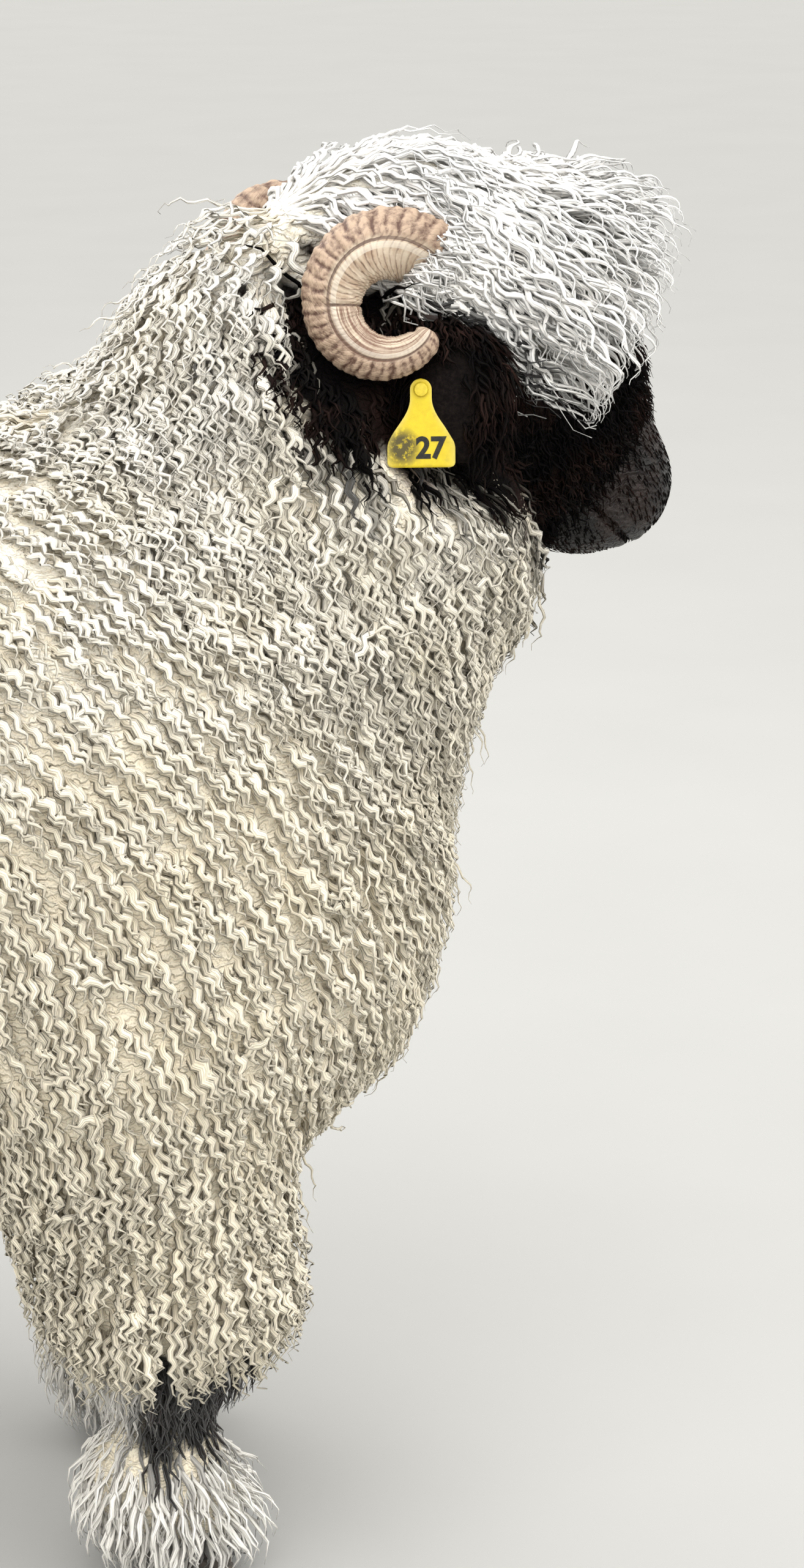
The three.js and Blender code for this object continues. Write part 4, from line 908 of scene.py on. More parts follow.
def stations(count, bare=0.16, steps=2):
    """Shares of a lock's length: a few over its buried root, and the rest evenly over what shows."""
    return np.concatenate([np.linspace(0, bare, steps, endpoint=False), np.linspace(bare, 1, count - steps)])


def always(value):
    """The same value at every root."""
    return lambda roots: np.full(len(roots), value)


def clear_of_horns(line):
    """Which locks keep out of the room in front of the horns' coils and of the ears."""
    rings, count = line.shape[:2]
    points = line.reshape(-1, 3)
    inside = np.zeros(len(points), bool)
    for side in (-1, 1):
        forward, up, lateral = horn_axes(side)
        reach = points - HORN_CENTRES[side]
        aside = reach @ lateral
        ahead, above = reach @ forward, reach @ up
        covered = np.abs(np.arctan2(above, ahead) - 0.30) < 0.75
        inside |= (aside > -8 * MM) & (np.hypot(ahead, above) < 61 * MM) & ~covered
        spine = segment_distance(points, on_head(20, side * 118, -84), on_head(62, side * 129, -126))
        inside |= spine < 24 * MM
    return inside.reshape(rings, count).mean(axis=0) < 0.06


def style(**changes):
    """The plain wavy lock of the flank, and what differs from it."""
    plain = dict(
        stations=stations(12), length=always(38 * MM), vary=0.25, tip=always(0.98), uneven=0.05,
        lie=trunk_lie, stray=0.30, wild=0.04, droop=0.12, turn=0.55, cling=0.85, period=14.0 * MM,
        jitter=0.45, tightening=0.9, wave=2.0 * MM, curl=1.3, depth=0.5, width=8.2 * MM, flat=0.28,
        taper=0.45, clear=clear_of_horns,
    )
    plain.update(changes)
    return plain


# Node trees.
def feed(tree, socket, value):
    """Links a socket, or sets its own value."""
    if isinstance(value, bpy.types.NodeSocket):
        tree.links.new(value, socket)
    elif value is not None:
        socket.default_value = value


def node(tree, kind, inputs=None, **settings):
    """A node with its settings and its inputs, by name or by number."""
    made = tree.nodes.new(kind)
    for key, value in settings.items():
        setattr(made, key, value)
    for key, value in (inputs or {}).items():
        feed(tree, made.inputs[key], value)
    return made


def maths(tree, operation, first, second=None, third=None):
    """One step of arithmetic."""
    return node(tree, "ShaderNodeMath", {0: first, 1: second, 2: third}, operation=operation).outputs[0]


def times(tree, first, second):
    """One value times another."""
    return maths(tree, "MULTIPLY", first, second)


def plus(tree, first, second):
    """The sum of two values."""
    return maths(tree, "ADD", first, second)


def blend_colours(tree, share, first, second):
    """The first colour, the second, or what lies between."""
    return node(tree, "ShaderNodeMix", {0: share, 6: first, 7: second}, data_type="RGBA").outputs[2]


def brightened(tree, colour, value):
    """A colour made lighter or darker."""
    return node(tree, "ShaderNodeHueSaturation", {"Color": colour, "Value": value}).outputs[0]


def attribute(tree, name):
    """A value stored on the mesh."""
    return node(tree, "ShaderNodeAttribute", attribute_name=name).outputs["Fac"]


def place_of(tree):
    """The place on the object, in metres."""
    return node(tree, "ShaderNodeTexCoord").outputs["Object"]


def height_of(tree, place):
    """How high a place lies."""
    return node(tree, "ShaderNodeSeparateXYZ", {0: place}).outputs[2]


def stretched(tree, place, scale):
    """A place times a scale for each direction: what is under one draws a pattern out that way."""
    return node(tree, "ShaderNodeMapping", {"Vector": place, "Scale": scale}).outputs[0]


def noise(tree, vector, scale, detail=3.0, roughness=0.55):
    """Soft noise from 0 to 1."""
    inputs = {"Vector": vector, "Scale": scale, "Detail": detail, "Roughness": roughness}
    return node(tree, "ShaderNodeTexNoise", inputs).outputs["Fac"]


def remap(tree, value, low, high, to_low=0.0, to_high=1.0):
    """A value's range stretched onto another, and no further."""
    inputs = {"Value": value, "From Min": low, "From Max": high, "To Min": to_low, "To Max": to_high}
    return node(tree, "ShaderNodeMapRange", inputs).outputs["Result"]


def combine(tree, x, y, z):
    """A vector of three values."""
    return node(tree, "ShaderNodeCombineXYZ", {0: x, 1: y, 2: z}).outputs[0]


def bumped(tree, height, strength, distance, under=None):
    """A normal bent by a height, over a distance in metres, and over another normal where one is given."""
    inputs = {"Height": height, "Strength": strength, "Distance": distance, "Normal": under}
    return node(tree, "ShaderNodeBump", inputs).outputs["Normal"]


def effect(name, inputs, outputs, build):
    """A shader node group: its named inputs with their kinds and first values, and its named outputs."""
    tree = bpy.data.node_groups.new(name, "ShaderNodeTree")
    for label, (kind, value) in inputs.items():
        socket = tree.interface.new_socket(label, in_out="INPUT", socket_type=kind)
        if value is not None:
            socket.default_value = value
    for label, kind in outputs.items():
        tree.interface.new_socket(label, in_out="OUTPUT", socket_type=kind)
    begin, end = tree.nodes.new("NodeGroupInput"), tree.nodes.new("NodeGroupOutput")
    for label, value in build(tree, begin.outputs).items():
        tree.links.new(value, end.inputs[label])
    return tree


def use(tree, group, inputs):
    """A group placed in a tree with its own values."""
    made = tree.nodes.new("ShaderNodeGroup")
    made.node_tree = group
    for key, value in inputs.items():
        feed(tree, made.inputs[key], value)
    return made.outputs


def material_of(name, finish):
    """A material whose Principled shader is fed by a finish: by the name of each socket, a link or a
    value."""
    material = bpy.data.materials.new(name)
    material.use_nodes = True
    tree = material.node_tree
    tree.nodes.clear()
    shader = tree.nodes.new("ShaderNodeBsdfPrincipled")
    output = tree.nodes.new("ShaderNodeOutputMaterial")
    tree.links.new(shader.outputs[0], output.inputs[0])
    for socket, value in finish(tree).items():
        feed(tree, shader.inputs[socket], value)
    return material


COLOUR, VALUE = "NodeSocketColor", "NodeSocketFloat"
STAIN_BELOW_TAG = np.array([0, 0.010, -0.036])
STAIN_PLACE = tuple(float(v) for v in centre("ear_tag") + STAIN_BELOW_TAG)
STAIN_BROWN = (0.10, 0.045, 0.028, 1)


def wool_tone(tree, ins):
    """Wool is deep-toned at its root and light at its tip. The root's tone is partly the inner wool's own
    yellow and partly painted shade of the fleece's depth. It is whiter high on the body and creamier low and
    in broad soft patches, stained brown under the tag, and black or brown where it is marked."""
    place = place_of(tree)
    level = plus(tree, height_of(tree, place), times(tree, noise(tree, place, 7.0), 0.22))
    cream = times(tree, remap(tree, level, 1.06, 0.62), ins["Cream Amount"])
    tip = blend_colours(tree, cream, ins["White"], ins["Cream"])
    patch = times(tree, remap(tree, noise(tree, place, 16.0, 2.0), 0.45, 0.75), 0.35)
    tip = blend_colours(tree, patch, tip, ins["Yolk"])
    from_stain = node(tree, "ShaderNodeVectorMath", {0: place, 1: STAIN_PLACE}, operation="DISTANCE")
    spread = plus(tree, from_stain.outputs["Value"], times(tree, noise(tree, place, 60.0, 2.0), 24 * MM))
    tip = blend_colours(tree, remap(tree, spread, 40 * MM, 20 * MM, 0.0, 0.8), tip, STAIN_BROWN)
    # Towards the root the colour goes to the Deep tone: partly the inner wool's own colour, partly painted
    # shade of the fleece's depth.
    depth = times(tree, remap(tree, ins["Along"], 0.42, 0.10), 0.60)
    white = blend_colours(tree, depth, tip, ins["Deep"])
    brown = times(tree, remap(tree, noise(tree, place, 24.0, 2.0), 0.42, 0.62), ins["Shade"])
    dark = blend_colours(tree, brown, ins["Black"], ins["Brown"])
    colour = blend_colours(tree, ins["Mark"], white, dark)
    return {"Colour": brightened(tree, colour, remap(tree, ins["Shade"], 0.0, 1.0, 0.92, 1.04))}


def fibre(tree, ins):
    """A lock's strands and its fine hairs. The strands are rounded ridges, the root of a sine across the
    lock, that wander by noise drawn out along it. The hairs are finer noise drawn out the same way. Both
    give the height, and a painted shading from 0 in a valley to 1 on a ridge: painted shade between the
    strands and painted highlight on their crests."""
    across = times(tree, ins["Across"], ins["Count"])
    along = times(tree, ins["Along"], 2.2)
    shade = times(tree, ins["Shade"], 60.0)
    grain = noise(tree, combine(tree, times(tree, across, 3.5), along, shade), 1.0, 3.0, 0.7)
    wander = noise(tree, combine(tree, across, along, shade), 0.9, 1.0)
    turn = times(tree, plus(tree, across, times(tree, wander, 1.6)), math.pi)
    ridge = maths(tree, "POWER", maths(tree, "ABSOLUTE", maths(tree, "SINE", turn)), 0.6)
    height = plus(tree, times(tree, ridge, 0.7), times(tree, grain, 0.45))
    return {"Height": height, "Tint": remap(tree, height, 0.30, 0.95)}


WOOL_TONE = effect(
    "Wool tone",
    {
        "White": (COLOUR, (0.96, 0.93, 0.86, 1)), "Cream": (COLOUR, (0.93, 0.85, 0.68, 1)),
        "Yolk": (COLOUR, (0.91, 0.80, 0.56, 1)), "Deep": (COLOUR, (0.91, 0.79, 0.58, 1)),
        "Black": (COLOUR, (0.004, 0.003, 0.003, 1)), "Brown": (COLOUR, (0.026, 0.013, 0.010, 1)),
        "Cream Amount": (VALUE, 1.0), "Along": (VALUE, 1.0), "Mark": (VALUE, 0.0), "Shade": (VALUE, 0.5),
    },
    {"Colour": COLOUR},
    wool_tone,
)
FIBRE = effect(
    "Fibre",
    {"Across": (VALUE, 0.0), "Along": (VALUE, 0.0), "Shade": (VALUE, 0.5), "Count": (VALUE, 3.0)},
    {"Height": VALUE, "Tint": VALUE},
    fibre,
)


def lock_wool(name, strands, glow, shine, **tones):
    """The finish of the locks: so many strands across each, how much their edges glow, how much they
    shine, and their own tones of wool."""
    def finish(tree):
        along, shade = attribute(tree, "along"), attribute(tree, "shade")
        across, mark = attribute(tree, "across"), attribute(tree, "mark")
        hair = use(tree, FIBRE, {"Across": across, "Along": along, "Shade": shade, "Count": strands})
        tone = use(tree, WOOL_TONE, {"Along": along, "Mark": mark, "Shade": shade, **tones})
        return {
            # The base colour is darkened in the strands' valleys and lightened on their ridges: painted
            # shade and painted highlight.
            "Base Color": brightened(tree, tone["Colour"], remap(tree, hair["Tint"], 0, 1, 0.80, 1.04)),
            "Roughness": 0.75,
            "Specular IOR Level": shine,
            "Sheen Weight": glow,
            "Sheen Roughness": 0.5,
            "Normal": bumped(tree, hair["Height"], 0.8, 1.2 * MM),
        }

    return material_of(name, finish)


def skin_finish(tree):
    """Under the locks the skin is matted wool: crimped, deep-toned and marked as they are. It is
    deeper-toned in the hollows of its crimp, partly the wool's own tone and partly painted shade. On the
    muzzle it is short sleek hair, laid along the face."""
    place = place_of(tree)
    mark, bare = attribute(tree, "mark"), attribute(tree, "bare")
    mat = noise(tree, stretched(tree, place, (1.0, 1.0, 0.35)), 150.0, 4.0, 0.6)
    crimp = {"Vector": place, "Scale": 60.0, "Distortion": 9.0, "Detail": 3.0, "Detail Scale": 2.0}
    wave = node(tree, "ShaderNodeTexWave", crimp, bands_direction="Z").outputs["Fac"]
    height = plus(tree, times(tree, mat, 0.6), times(tree, wave, 0.5))
    # Lower in the crimp the tone goes deeper: partly the inner wool's tone, partly painted shade in its
    # hollows.
    raised = remap(tree, height, 0.3, 0.9, 0.2, 0.62)
    tone = use(tree, WOOL_TONE, {"Along": raised, "Mark": mark, "Shade": mat})
    sleek = noise(tree, stretched(tree, place, (0.35, 1.0, 0.5)), 900.0, 3.0, 0.65)
    return {
        "Base Color": tone["Colour"],
        "Roughness": remap(tree, bare, 0, 1, 0.85, 0.42),
        "Specular IOR Level": remap(tree, bare, 0, 1, 0.05, 0.30),
        "Normal": bumped(tree, sleek, 0.5, 0.5 * MM, bumped(tree, height, 0.9, 4 * MM)),
    }


def points_of(mesh):
    """The places of a mesh's points."""
    points = np.empty(len(mesh.vertices) * 3, np.float32)
    mesh.vertices.foreach_get("co", points)
    return points.reshape(-1, 3).astype(float)


def facing_out(piece):
    """The piece's faces turned so that they point out of its closed surface."""
    mesh = piece.data
    mesh.calc_loop_triangles()
    corners = np.empty(len(mesh.loop_triangles) * 3, np.int32)
    mesh.loop_triangles.foreach_get("vertices", corners)
    a, b, c = points_of(mesh)[corners.reshape(-1, 3)].transpose(1, 0, 2)
    if (np.cross(a, b) * c).sum() < 0:
        mesh.flip_normals()
    return piece


def around(columns, start=0.0):
    """Angles evenly round a circle, the first of them so many steps on."""
    return math.tau * (np.arange(columns) + start) / columns


def shell(name, points, **attributes):
    """A closed piece from a grid of points, its rows closed rings and its ends closed round a middle
    point. An attribute is its values over the grid, and its value at either end."""
    rows, columns = points.shape[:2]
    i, j = np.meshgrid(np.arange(rows - 1), np.arange(columns), indexing="ij")
    k = (j + 1) % columns
    quads = [i * columns + j, i * columns + k, (i + 1) * columns + k, (i + 1) * columns + j]
    j, k = j[0], k[0]
    start, end, last = rows * columns, rows * columns + 1, (rows - 1) * columns
    first_cap = side_by_side(np.full(columns, start), k, j)
    last_cap = side_by_side(np.full(columns, end), last + j, last + k)
    everything = np.concatenate([points.reshape(-1, 3), [points[0].mean(0)], [points[-1].mean(0)]])
    layers = {
        key: np.concatenate([np.broadcast_to(values, (rows, columns)).reshape(-1), ends])
        for key, (values, ends) in attributes.items()
    }
    faces = [np.stack(quads, -1).reshape(-1, 4), np.concatenate([first_cap, last_cap])]
    return facing_out(new_mesh(name, everything, faces, layers))


# The horns.
def horn_line(side, share):
    """The coil's middle line: a turn about the coil's centre from its root to its tip, its radius
    shrinking, while it comes out of the head over its first third."""
    forward, up, lateral = horn_axes(side)
    angle = mix(0.1, 5.75, share)[:, None]
    radius = HORN_COIL_RADIUS * mix(1.12, 0.82, share)[:, None]
    inward = -58 * MM * (1 - smooth(angle, 0.1, 2.1)) + 6 * MM * share[:, None]
    radial = forward * np.cos(angle) + up * np.sin(angle)
    return HORN_CENTRES[side] + radial * radius + lateral * inward, radial, lateral


def horn(side):
    """A horn on its line. Its section is an oval with a keel on the outer side. Rings of growth raise it
    all along, fine on its pale face and coarse, knobbly and uneven on the keel, and its tip is
    chipped."""
    rows, columns = 300, 48
    share = np.linspace(0, 1, rows)
    line, radial, lateral = horn_line(side, share)
    s, t = share[:, None], around(columns)[None, :]
    width = mix(HORN_ROOT_WIDTH, HORN_TIP_WIDTH, s ** 1.5)
    outer = np.maximum(0, np.cos(t)) ** 2
    keel = 1 + 0.16 * outer
    fine = 0.010 * np.sin(s * math.tau * 62 + 0.8 * np.sin(t * 2)) + 0.012 * np.sin(s * math.tau * 19 + t)
    from_keel = np.abs((t + math.pi) % (math.tau) - math.pi)
    band = 1 - smooth(from_keel, HORN_SEAM - 0.18, HORN_SEAM)
    knob_wave = s * math.pi * HORN_KNOB_ROWS + 0.5 * np.sin(t * 5)
    knobs = np.abs(np.sin(knob_wave)) ** 0.6 * (0.55 + 0.45 * np.abs(np.sin(HORN_KNOB_COLUMNS * t / 2)))
    knobs = 0.075 * band * (knobs - 0.45)
    groove = -0.07 * bell(from_keel - HORN_SEAM, 0.09) + 0.03 * bell(from_keel - HORN_SEAM - 0.22, 0.12)
    step = -0.035 * bell(s - 0.30, 0.006) - 0.06 * bell(s - HORN_STEP, 0.008)
    wear = smooth(s, 0.02, 0.1) * (1 - 0.6 * smooth(s, 0.9, 1.0))
    relief = 1 + (fine + knobs + groove + step) * wear
    tip = np.sqrt(np.maximum(0, 1 - np.maximum(0, (s - 0.955) / 0.047) ** 2)) * 0.94 + 0.06
    chip = 1 - 0.22 * bell(s - 0.955, 0.02) * np.maximum(0, -np.cos(t - 0.3))
    out = np.cos(t) * width * 0.5 * keel * relief * tip * chip
    aside = np.sin(t) * width * 0.42 * relief * tip * chip
    points = line[:, None] + radial[:, None] * out[..., None] + lateral * aside[..., None]
    ends = [0, 1]
    return shell(f"horn_{SIDE_NAMES[side]}_shell", points, along=(s, ends), keel=(band, ends),
                 turn=(t / math.tau, ends), relief=((fine + knobs) * 12 + 0.5, ends))


HORN_CREAM, HORN_FAWN = (0.54, 0.45, 0.34, 1), (0.34, 0.235, 0.155, 1)
HORN_LINE, HORN_GROOVE_BROWN = (0.12, 0.068, 0.044, 1), (0.085, 0.045, 0.030, 1)
HORN_BROWN, HORN_PALE = (0.17, 0.090, 0.058, 1), (0.55, 0.45, 0.34, 1)
HORN_BAND, HORN_KNOB = (0.095, 0.046, 0.029, 1), (0.43, 0.31, 0.22, 1)
HORN_RIDGE = (0.60, 0.53, 0.44, 1)


def horn_finish(tree):
    """The keel is a brown band with rows of pale knobs, parted from the face by a dark seam and a pale
    ridge. The face is cream: up to the step, fine dark lines cross it, which bow with it; past the step it's
    streaked lengthwise in brown and white. The seam's groove and the step are darker brown still."""
    along, keel = attribute(tree, "along"), attribute(tree, "keel")
    turn, relief = attribute(tree, "turn"), attribute(tree, "relief")

    def drawn(lengthwise, around_it, layer, roughness=0.6):
        """Noise that changes so many times along the horn and round it, in a layer of its own."""
        place = combine(tree, times(tree, along, lengthwise), times(tree, turn, around_it), layer)
        return noise(tree, place, 1.0, 3.0, roughness)

    blotch, streak, fleck = drawn(26.0, 12.0, 0.0), drawn(5.0, 50.0, 3.0), drawn(90.0, 34.0, 7.0, 0.65)
    from_keel = maths(tree, "PINGPONG", turn, 0.5)
    bow = times(tree, maths(tree, "POWER", maths(tree, "SUBTRACT", from_keel, 0.30), 2.0), 2.2)
    ring_place = times(tree, plus(tree, along, bow), HORN_FACE_LINES * math.tau)
    ring_place = plus(tree, ring_place, times(tree, blotch, 5.0))
    ring = remap(tree, maths(tree, "SINE", ring_place), 0.45, 1.0)
    ring = times(tree, ring, remap(tree, blotch, 0.35, 0.60, 0.25, 0.85))
    ground = blend_colours(tree, remap(tree, blotch, 0.3, 0.7), HORN_CREAM, HORN_FAWN)
    ringed = blend_colours(tree, ring, ground, HORN_LINE)
    streaked = blend_colours(tree, remap(tree, streak, 0.40, 0.62), HORN_BROWN, HORN_PALE)
    face = blend_colours(tree, remap(tree, along, HORN_STEP - 0.02, HORN_STEP + 0.02), ringed, streaked)
    knob = plus(tree, times(tree, relief, 0.55), times(tree, fleck, 1.1))
    knob = remap(tree, plus(tree, knob, times(tree, blotch, 0.5)), 0.88, 1.32)
    colour = blend_colours(tree, keel, face, blend_colours(tree, knob, HORN_BAND, HORN_KNOB))
    seam = HORN_SEAM / math.tau
    pale = maths(tree, "COMPARE", from_keel, seam + 0.034, 0.016)
    colour = blend_colours(tree, times(tree, pale, 0.6), colour, HORN_RIDGE)
    in_seam = maths(tree, "COMPARE", from_keel, seam + 0.002, 0.009)
    in_step = maths(tree, "COMPARE", along, HORN_STEP, 0.005)
    in_step = times(tree, in_step, maths(tree, "SUBTRACT", 1.0, keel))
    # Darker brown along the seam's groove and at the step.
    groove_dark = times(tree, maths(tree, "MAXIMUM", in_seam, in_step), remap(tree, streak, 0.30, 0.55, 0.4, 0.9))
    ridges = maths(tree, "SUBTRACT", streak, times(tree, ring, 0.8))
    return {
        "Base Color": blend_colours(tree, groove_dark, colour, HORN_GROOVE_BROWN),
        "Roughness": remap(tree, blotch, 0.3, 0.7, 0.66, 0.46),
        "Normal": bumped(tree, ridges, 0.5, 0.6 * MM),
    }


# The ears.
EAR_WIDTH = 62 * MM


def ear_surface(side, along, across, depth):
    """A leaf that curls into a cup along a bent spine: its width is an ellipse's, its edges roll forward,
    and it is set off its own middle by its depth."""
    a, b, c = on_head(8, side * 64, -62), on_head(0, side * 130, -78), on_head(70, side * 130, -134)
    t = along[..., None]
    spine = a * (1 - t) ** 2 + b * 2 * t * (1 - t) + c * t ** 2
    heading = unit(2 * (1 - t) * (b - a) + 2 * t * (c - b))
    width = splayed_forward(side)
    width = unit(width - (heading @ width)[..., None] * heading)
    back = np.cross(heading, width) * -side
    half = EAR_WIDTH / 2 * mix(0.5, 1.0, smooth(along, 0, 0.45)) * np.sqrt(
        np.maximum(0, 1 - np.maximum(0, (along - 0.55) / 0.46) ** 2))
    curl = mix(1.5, 0.75, along)
    roll = across * curl
    return (spine + width * (np.sin(roll) / curl * half * 1.15 + np.sin(roll) * depth)[..., None]
            + back * ((np.cos(roll) - 1) * half * 0.9 + np.cos(roll) * depth)[..., None])


def ear(side):
    """The cup of an ear: its outer and inner faces as one closed leaf, thick at the middle and thin at
    the rim."""
    rows, columns = 40, 44
    along = np.linspace(0, 0.985, rows)[:, None]
    turn = around(columns)
    across = np.cos(turn)[None, :] * np.ones_like(along)
    depth = 2.0 * MM * np.sign(np.sin(turn)) * np.abs(np.sin(turn)) ** 0.5 + 0 * along
    points = ear_surface(side, along * np.ones_like(across), across, depth)
    return shell(f"ear_{SIDE_NAMES[side]}_leaf", points, inner=(depth < 0, [0, 0]))


EAR_TUFTS = 1250


def ear_wool(side, name, material, clear):
    """The hair of an ear: small curved locks that leave both faces of the leaf at a slant, run on towards
    its tip and bend to the ground, closest together at the rim."""
    rng = np.random.default_rng(41 + side)
    cut = style(stations=stations(7, 0.1, 1), width=3.2 * MM, flat=0.6, taper=0.4)
    along = rng.uniform(0.03, 0.98, EAR_TUFTS)
    across = np.sin(rng.uniform(-math.pi / 2, math.pi / 2, EAR_TUFTS))
    face = np.where(rng.random(EAR_TUFTS) < 0.62, 1.0, -1.0) * MM
    roots = ear_surface(side, along, across, face)
    out = unit(ear_surface(side, along, across, 3 * face) - roots)
    ahead = unit(ear_surface(side, np.minimum(along + 0.03, 0.999), across, face) - roots)
    length = 17 * MM * (1 + 0.35 * rng.uniform(-1, 1, EAR_TUFTS))
    swing = 0.8 * rng.uniform(-1, 1, EAR_TUFTS)
    s = cut["stations"][:, None, None]
    way = swung(ahead, out, swing)
    line = roots + way * length[:, None] * 0.85 * s + out * length[:, None] * 0.55 * np.sqrt(s)
    line = line + DOWN * length[:, None] * 0.35 * s ** 2
    wave = np.sin(9 * s[..., 0] + rng.uniform(0, math.tau, EAR_TUFTS)) * 1.3 * MM
    line = line + wave[..., None] * np.cross(out, way)
    kept = clear(line)
    normals = np.broadcast_to(out, line.shape)[:, kept]
    lock_piece(name, roots[kept], line[:, kept], normals, cut, np.ones(kept.sum()), rng, "ear", material)


EAR_BACK, EAR_BACK_LIGHT = (0.004, 0.003, 0.003, 1), (0.012, 0.009, 0.008, 1)
EAR_CUP, EAR_CUP_LIGHT = (0.007, 0.005, 0.005, 1), (0.020, 0.014, 0.013, 1)


def ear_finish(tree):
    """Black hair on the back, and brownish black skin deep in the cup."""
    grain = noise(tree, place_of(tree), 420.0, 4.0, 0.65)
    light = remap(tree, grain, 0.4, 0.7)
    back = blend_colours(tree, light, EAR_BACK, EAR_BACK_LIGHT)
    cup = blend_colours(tree, light, EAR_CUP, EAR_CUP_LIGHT)
    return {
        "Base Color": blend_colours(tree, attribute(tree, "inner"), back, cup),
        "Roughness": 0.85,
        "Specular IOR Level": 0.05,
        "Normal": bumped(tree, grain, 0.6, 0.8 * MM),
    }


# The eyes.
def eye(side):
    """An eyeball: a sphere whose front bulges into the cornea, its poles on the line out of the eye."""
    out, slit, over = eye_frame(side)
    rows, columns = 40, 56
    polar = np.linspace(0.02, math.pi - 0.02, rows)[:, None]
    turn = around(columns)[None, :]
    radius = EYE_RADIUS * (1 + 0.05 * bell(polar, 0.55))
    across, height = radius * np.sin(polar) * np.cos(turn), radius * np.sin(polar) * np.sin(turn)
    depth = radius * np.cos(polar) + 0 * turn
    points = EYE_CENTRES[side] + across[..., None] * slit + height[..., None] * over + depth[..., None] * out
    return shell(f"eye_{SIDE_NAMES[side]}_ball", points, slit=(across / EYE_RADIUS, [0, 0]),
                 over=(height / EYE_RADIUS, [0, 0]), out=(depth / EYE_RADIUS, [1, -1]))


PUPIL_BLACK, EYE_RIM, EYE_BACK = (0.004, 0.004, 0.006, 1), (0.012, 0.008, 0.006, 1), (0.10, 0.07, 0.06, 1)
IRIS_BROWN, IRIS_AMBER = (0.10, 0.042, 0.010, 1), (0.32, 0.16, 0.040, 1)


def eye_finish(tree):
    """An amber-brown iris with a level slit of a pupil, dark at its rim, under a wet surface."""
    slit, over, out = attribute(tree, "slit"), attribute(tree, "over"), attribute(tree, "out")
    squares = [maths(tree, "POWER", value, 2.0) for value in (slit, over)]
    radius = maths(tree, "SQRT", plus(tree, *squares))
    angle = times(tree, maths(tree, "ARCTAN2", over, slit), 9.0)
    spokes = noise(tree, combine(tree, angle, times(tree, radius, 3.0), 0.0), 1.0, 3.0)
    iris = blend_colours(tree, remap(tree, spokes, 0.35, 0.65), IRIS_BROWN, IRIS_AMBER)
    wide = maths(tree, "POWER", maths(tree, "ABSOLUTE", maths(tree, "DIVIDE", slit, 0.42)), 3.0)
    high = maths(tree, "POWER", maths(tree, "ABSOLUTE", maths(tree, "DIVIDE", over, 0.16)), 3.0)
    colour = blend_colours(tree, remap(tree, plus(tree, wide, high), 0.85, 1.15), PUPIL_BLACK, iris)
    colour = blend_colours(tree, remap(tree, radius, 0.60, 0.70), colour, EYE_RIM)
    return {
        "Base Color": blend_colours(tree, remap(tree, out, 0.1, 0.3), EYE_BACK, colour),
        "Roughness": 0.08,
        "Coat Weight": 1.0,
        "Coat Roughness": 0.03,
    }


# The hooves.
CLAW_WIDTH = 30 * MM


def claw(kind, side, name, place):
    """Half a hoof: rings of an oval that leans back as it rises, flat towards its twin, with fine rings
    of growth round its wall and a rim of softer horn at its top."""
    node_name = f"claw_{kind}_{SIDE_NAMES[side]}_{name}"
    low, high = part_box(node_name)
    mid_x, mid_y = (low[0] + high[0]) / 2 + 0.6 * MM, (low[1] + high[1]) / 2
    inward = -place * side
    rows, columns = 46, 40
    share = np.linspace(0, 1, rows)[:, None]
    angle = around(columns, 0.5)[None, :]
    growth = 0.35 * MM * np.sin(share * math.tau * 9 + 0.6 * np.sin(angle * 3)) * smooth(share, 0.04, 0.2)
    rim = 0.9 * MM * bell(share - 0.93, 0.05)
    bevel = 1.5 * MM * (1 - smooth(share, 0, 0.05))
    length = mix(33 * MM, 25 * MM, share) - bevel + growth + rim
    width = mix(CLAW_WIDTH, CLAW_WIDTH * 0.82, share) - 2 * bevel + 1.4 * (growth + rim)
    toe = np.maximum(0, np.cos(angle))
    across = np.sin(angle) * 0.5 * width
    flat = np.where(np.sign(across) == inward, 0.8, 1.0)
    x = mid_x - 6 * MM * share + np.cos(angle) * length
    y = mid_y + across * flat * (1 - 0.35 * toe)
    z = share * HOOF_HEIGHT + 0 * angle
    points = np.stack([x, y, z], -1)
    return shell(f"hoof_{kind}_{SIDE_NAMES[side]}_{name}", points), node_name


HOOF_DARK, HOOF_LIGHT, HOOF_DUST = (0.018, 0.014, 0.012, 1), (0.075, 0.058, 0.045, 1), (0.22, 0.18, 0.14, 1)


def hoof_finish(tree):
    """Dark horn, ringed and dusty towards the ground."""
    place = place_of(tree)
    rings = noise(tree, stretched(tree, place, (0.15, 0.15, 3.0)), 120.0, 4.0, 0.6)
    colour = blend_colours(tree, remap(tree, rings, 0.35, 0.7), HOOF_DARK, HOOF_LIGHT)
    low = remap(tree, height_of(tree, place), 0.018, 0.0)
    dust = times(tree, low, remap(tree, noise(tree, place, 220.0), 0.35, 0.65))
    return {
        "Base Color": blend_colours(tree, dust, colour, HOOF_DUST),
        "Roughness": remap(tree, rings, 0.3, 0.7, 0.6, 0.42),
        "Normal": bumped(tree, rings, 0.5, 0.6 * MM),
    }


# The ear tag.
TAG_HEIGHT = 57 * MM
TAG_WIDTH = 44 * MM
TAG_WALL = 1.6 * MM
TAG_NECK = 7 * MM
TAG_STAND_OFF = 7 * MM
# Where on the ear the tag is fixed, along and across it.
TAG_ALONG = 0.62
TAG_ACROSS = -0.78
TAG_CORNER = 3.5 * MM


def tag_frame(side):
    """The tag's own directions and place: across, up and out to the animal's side."""
    spot = ear_surface(side, np.array([TAG_ALONG]), np.array([TAG_ACROSS]), np.array([0.0]))[0]
    outside = unit(np.array([-0.16, side, 0.18]))
    over = unit(np.array([0.0, 0.0, 1.0]) - outside * outside[2])
    return spot, np.cross(over, outside), over, outside


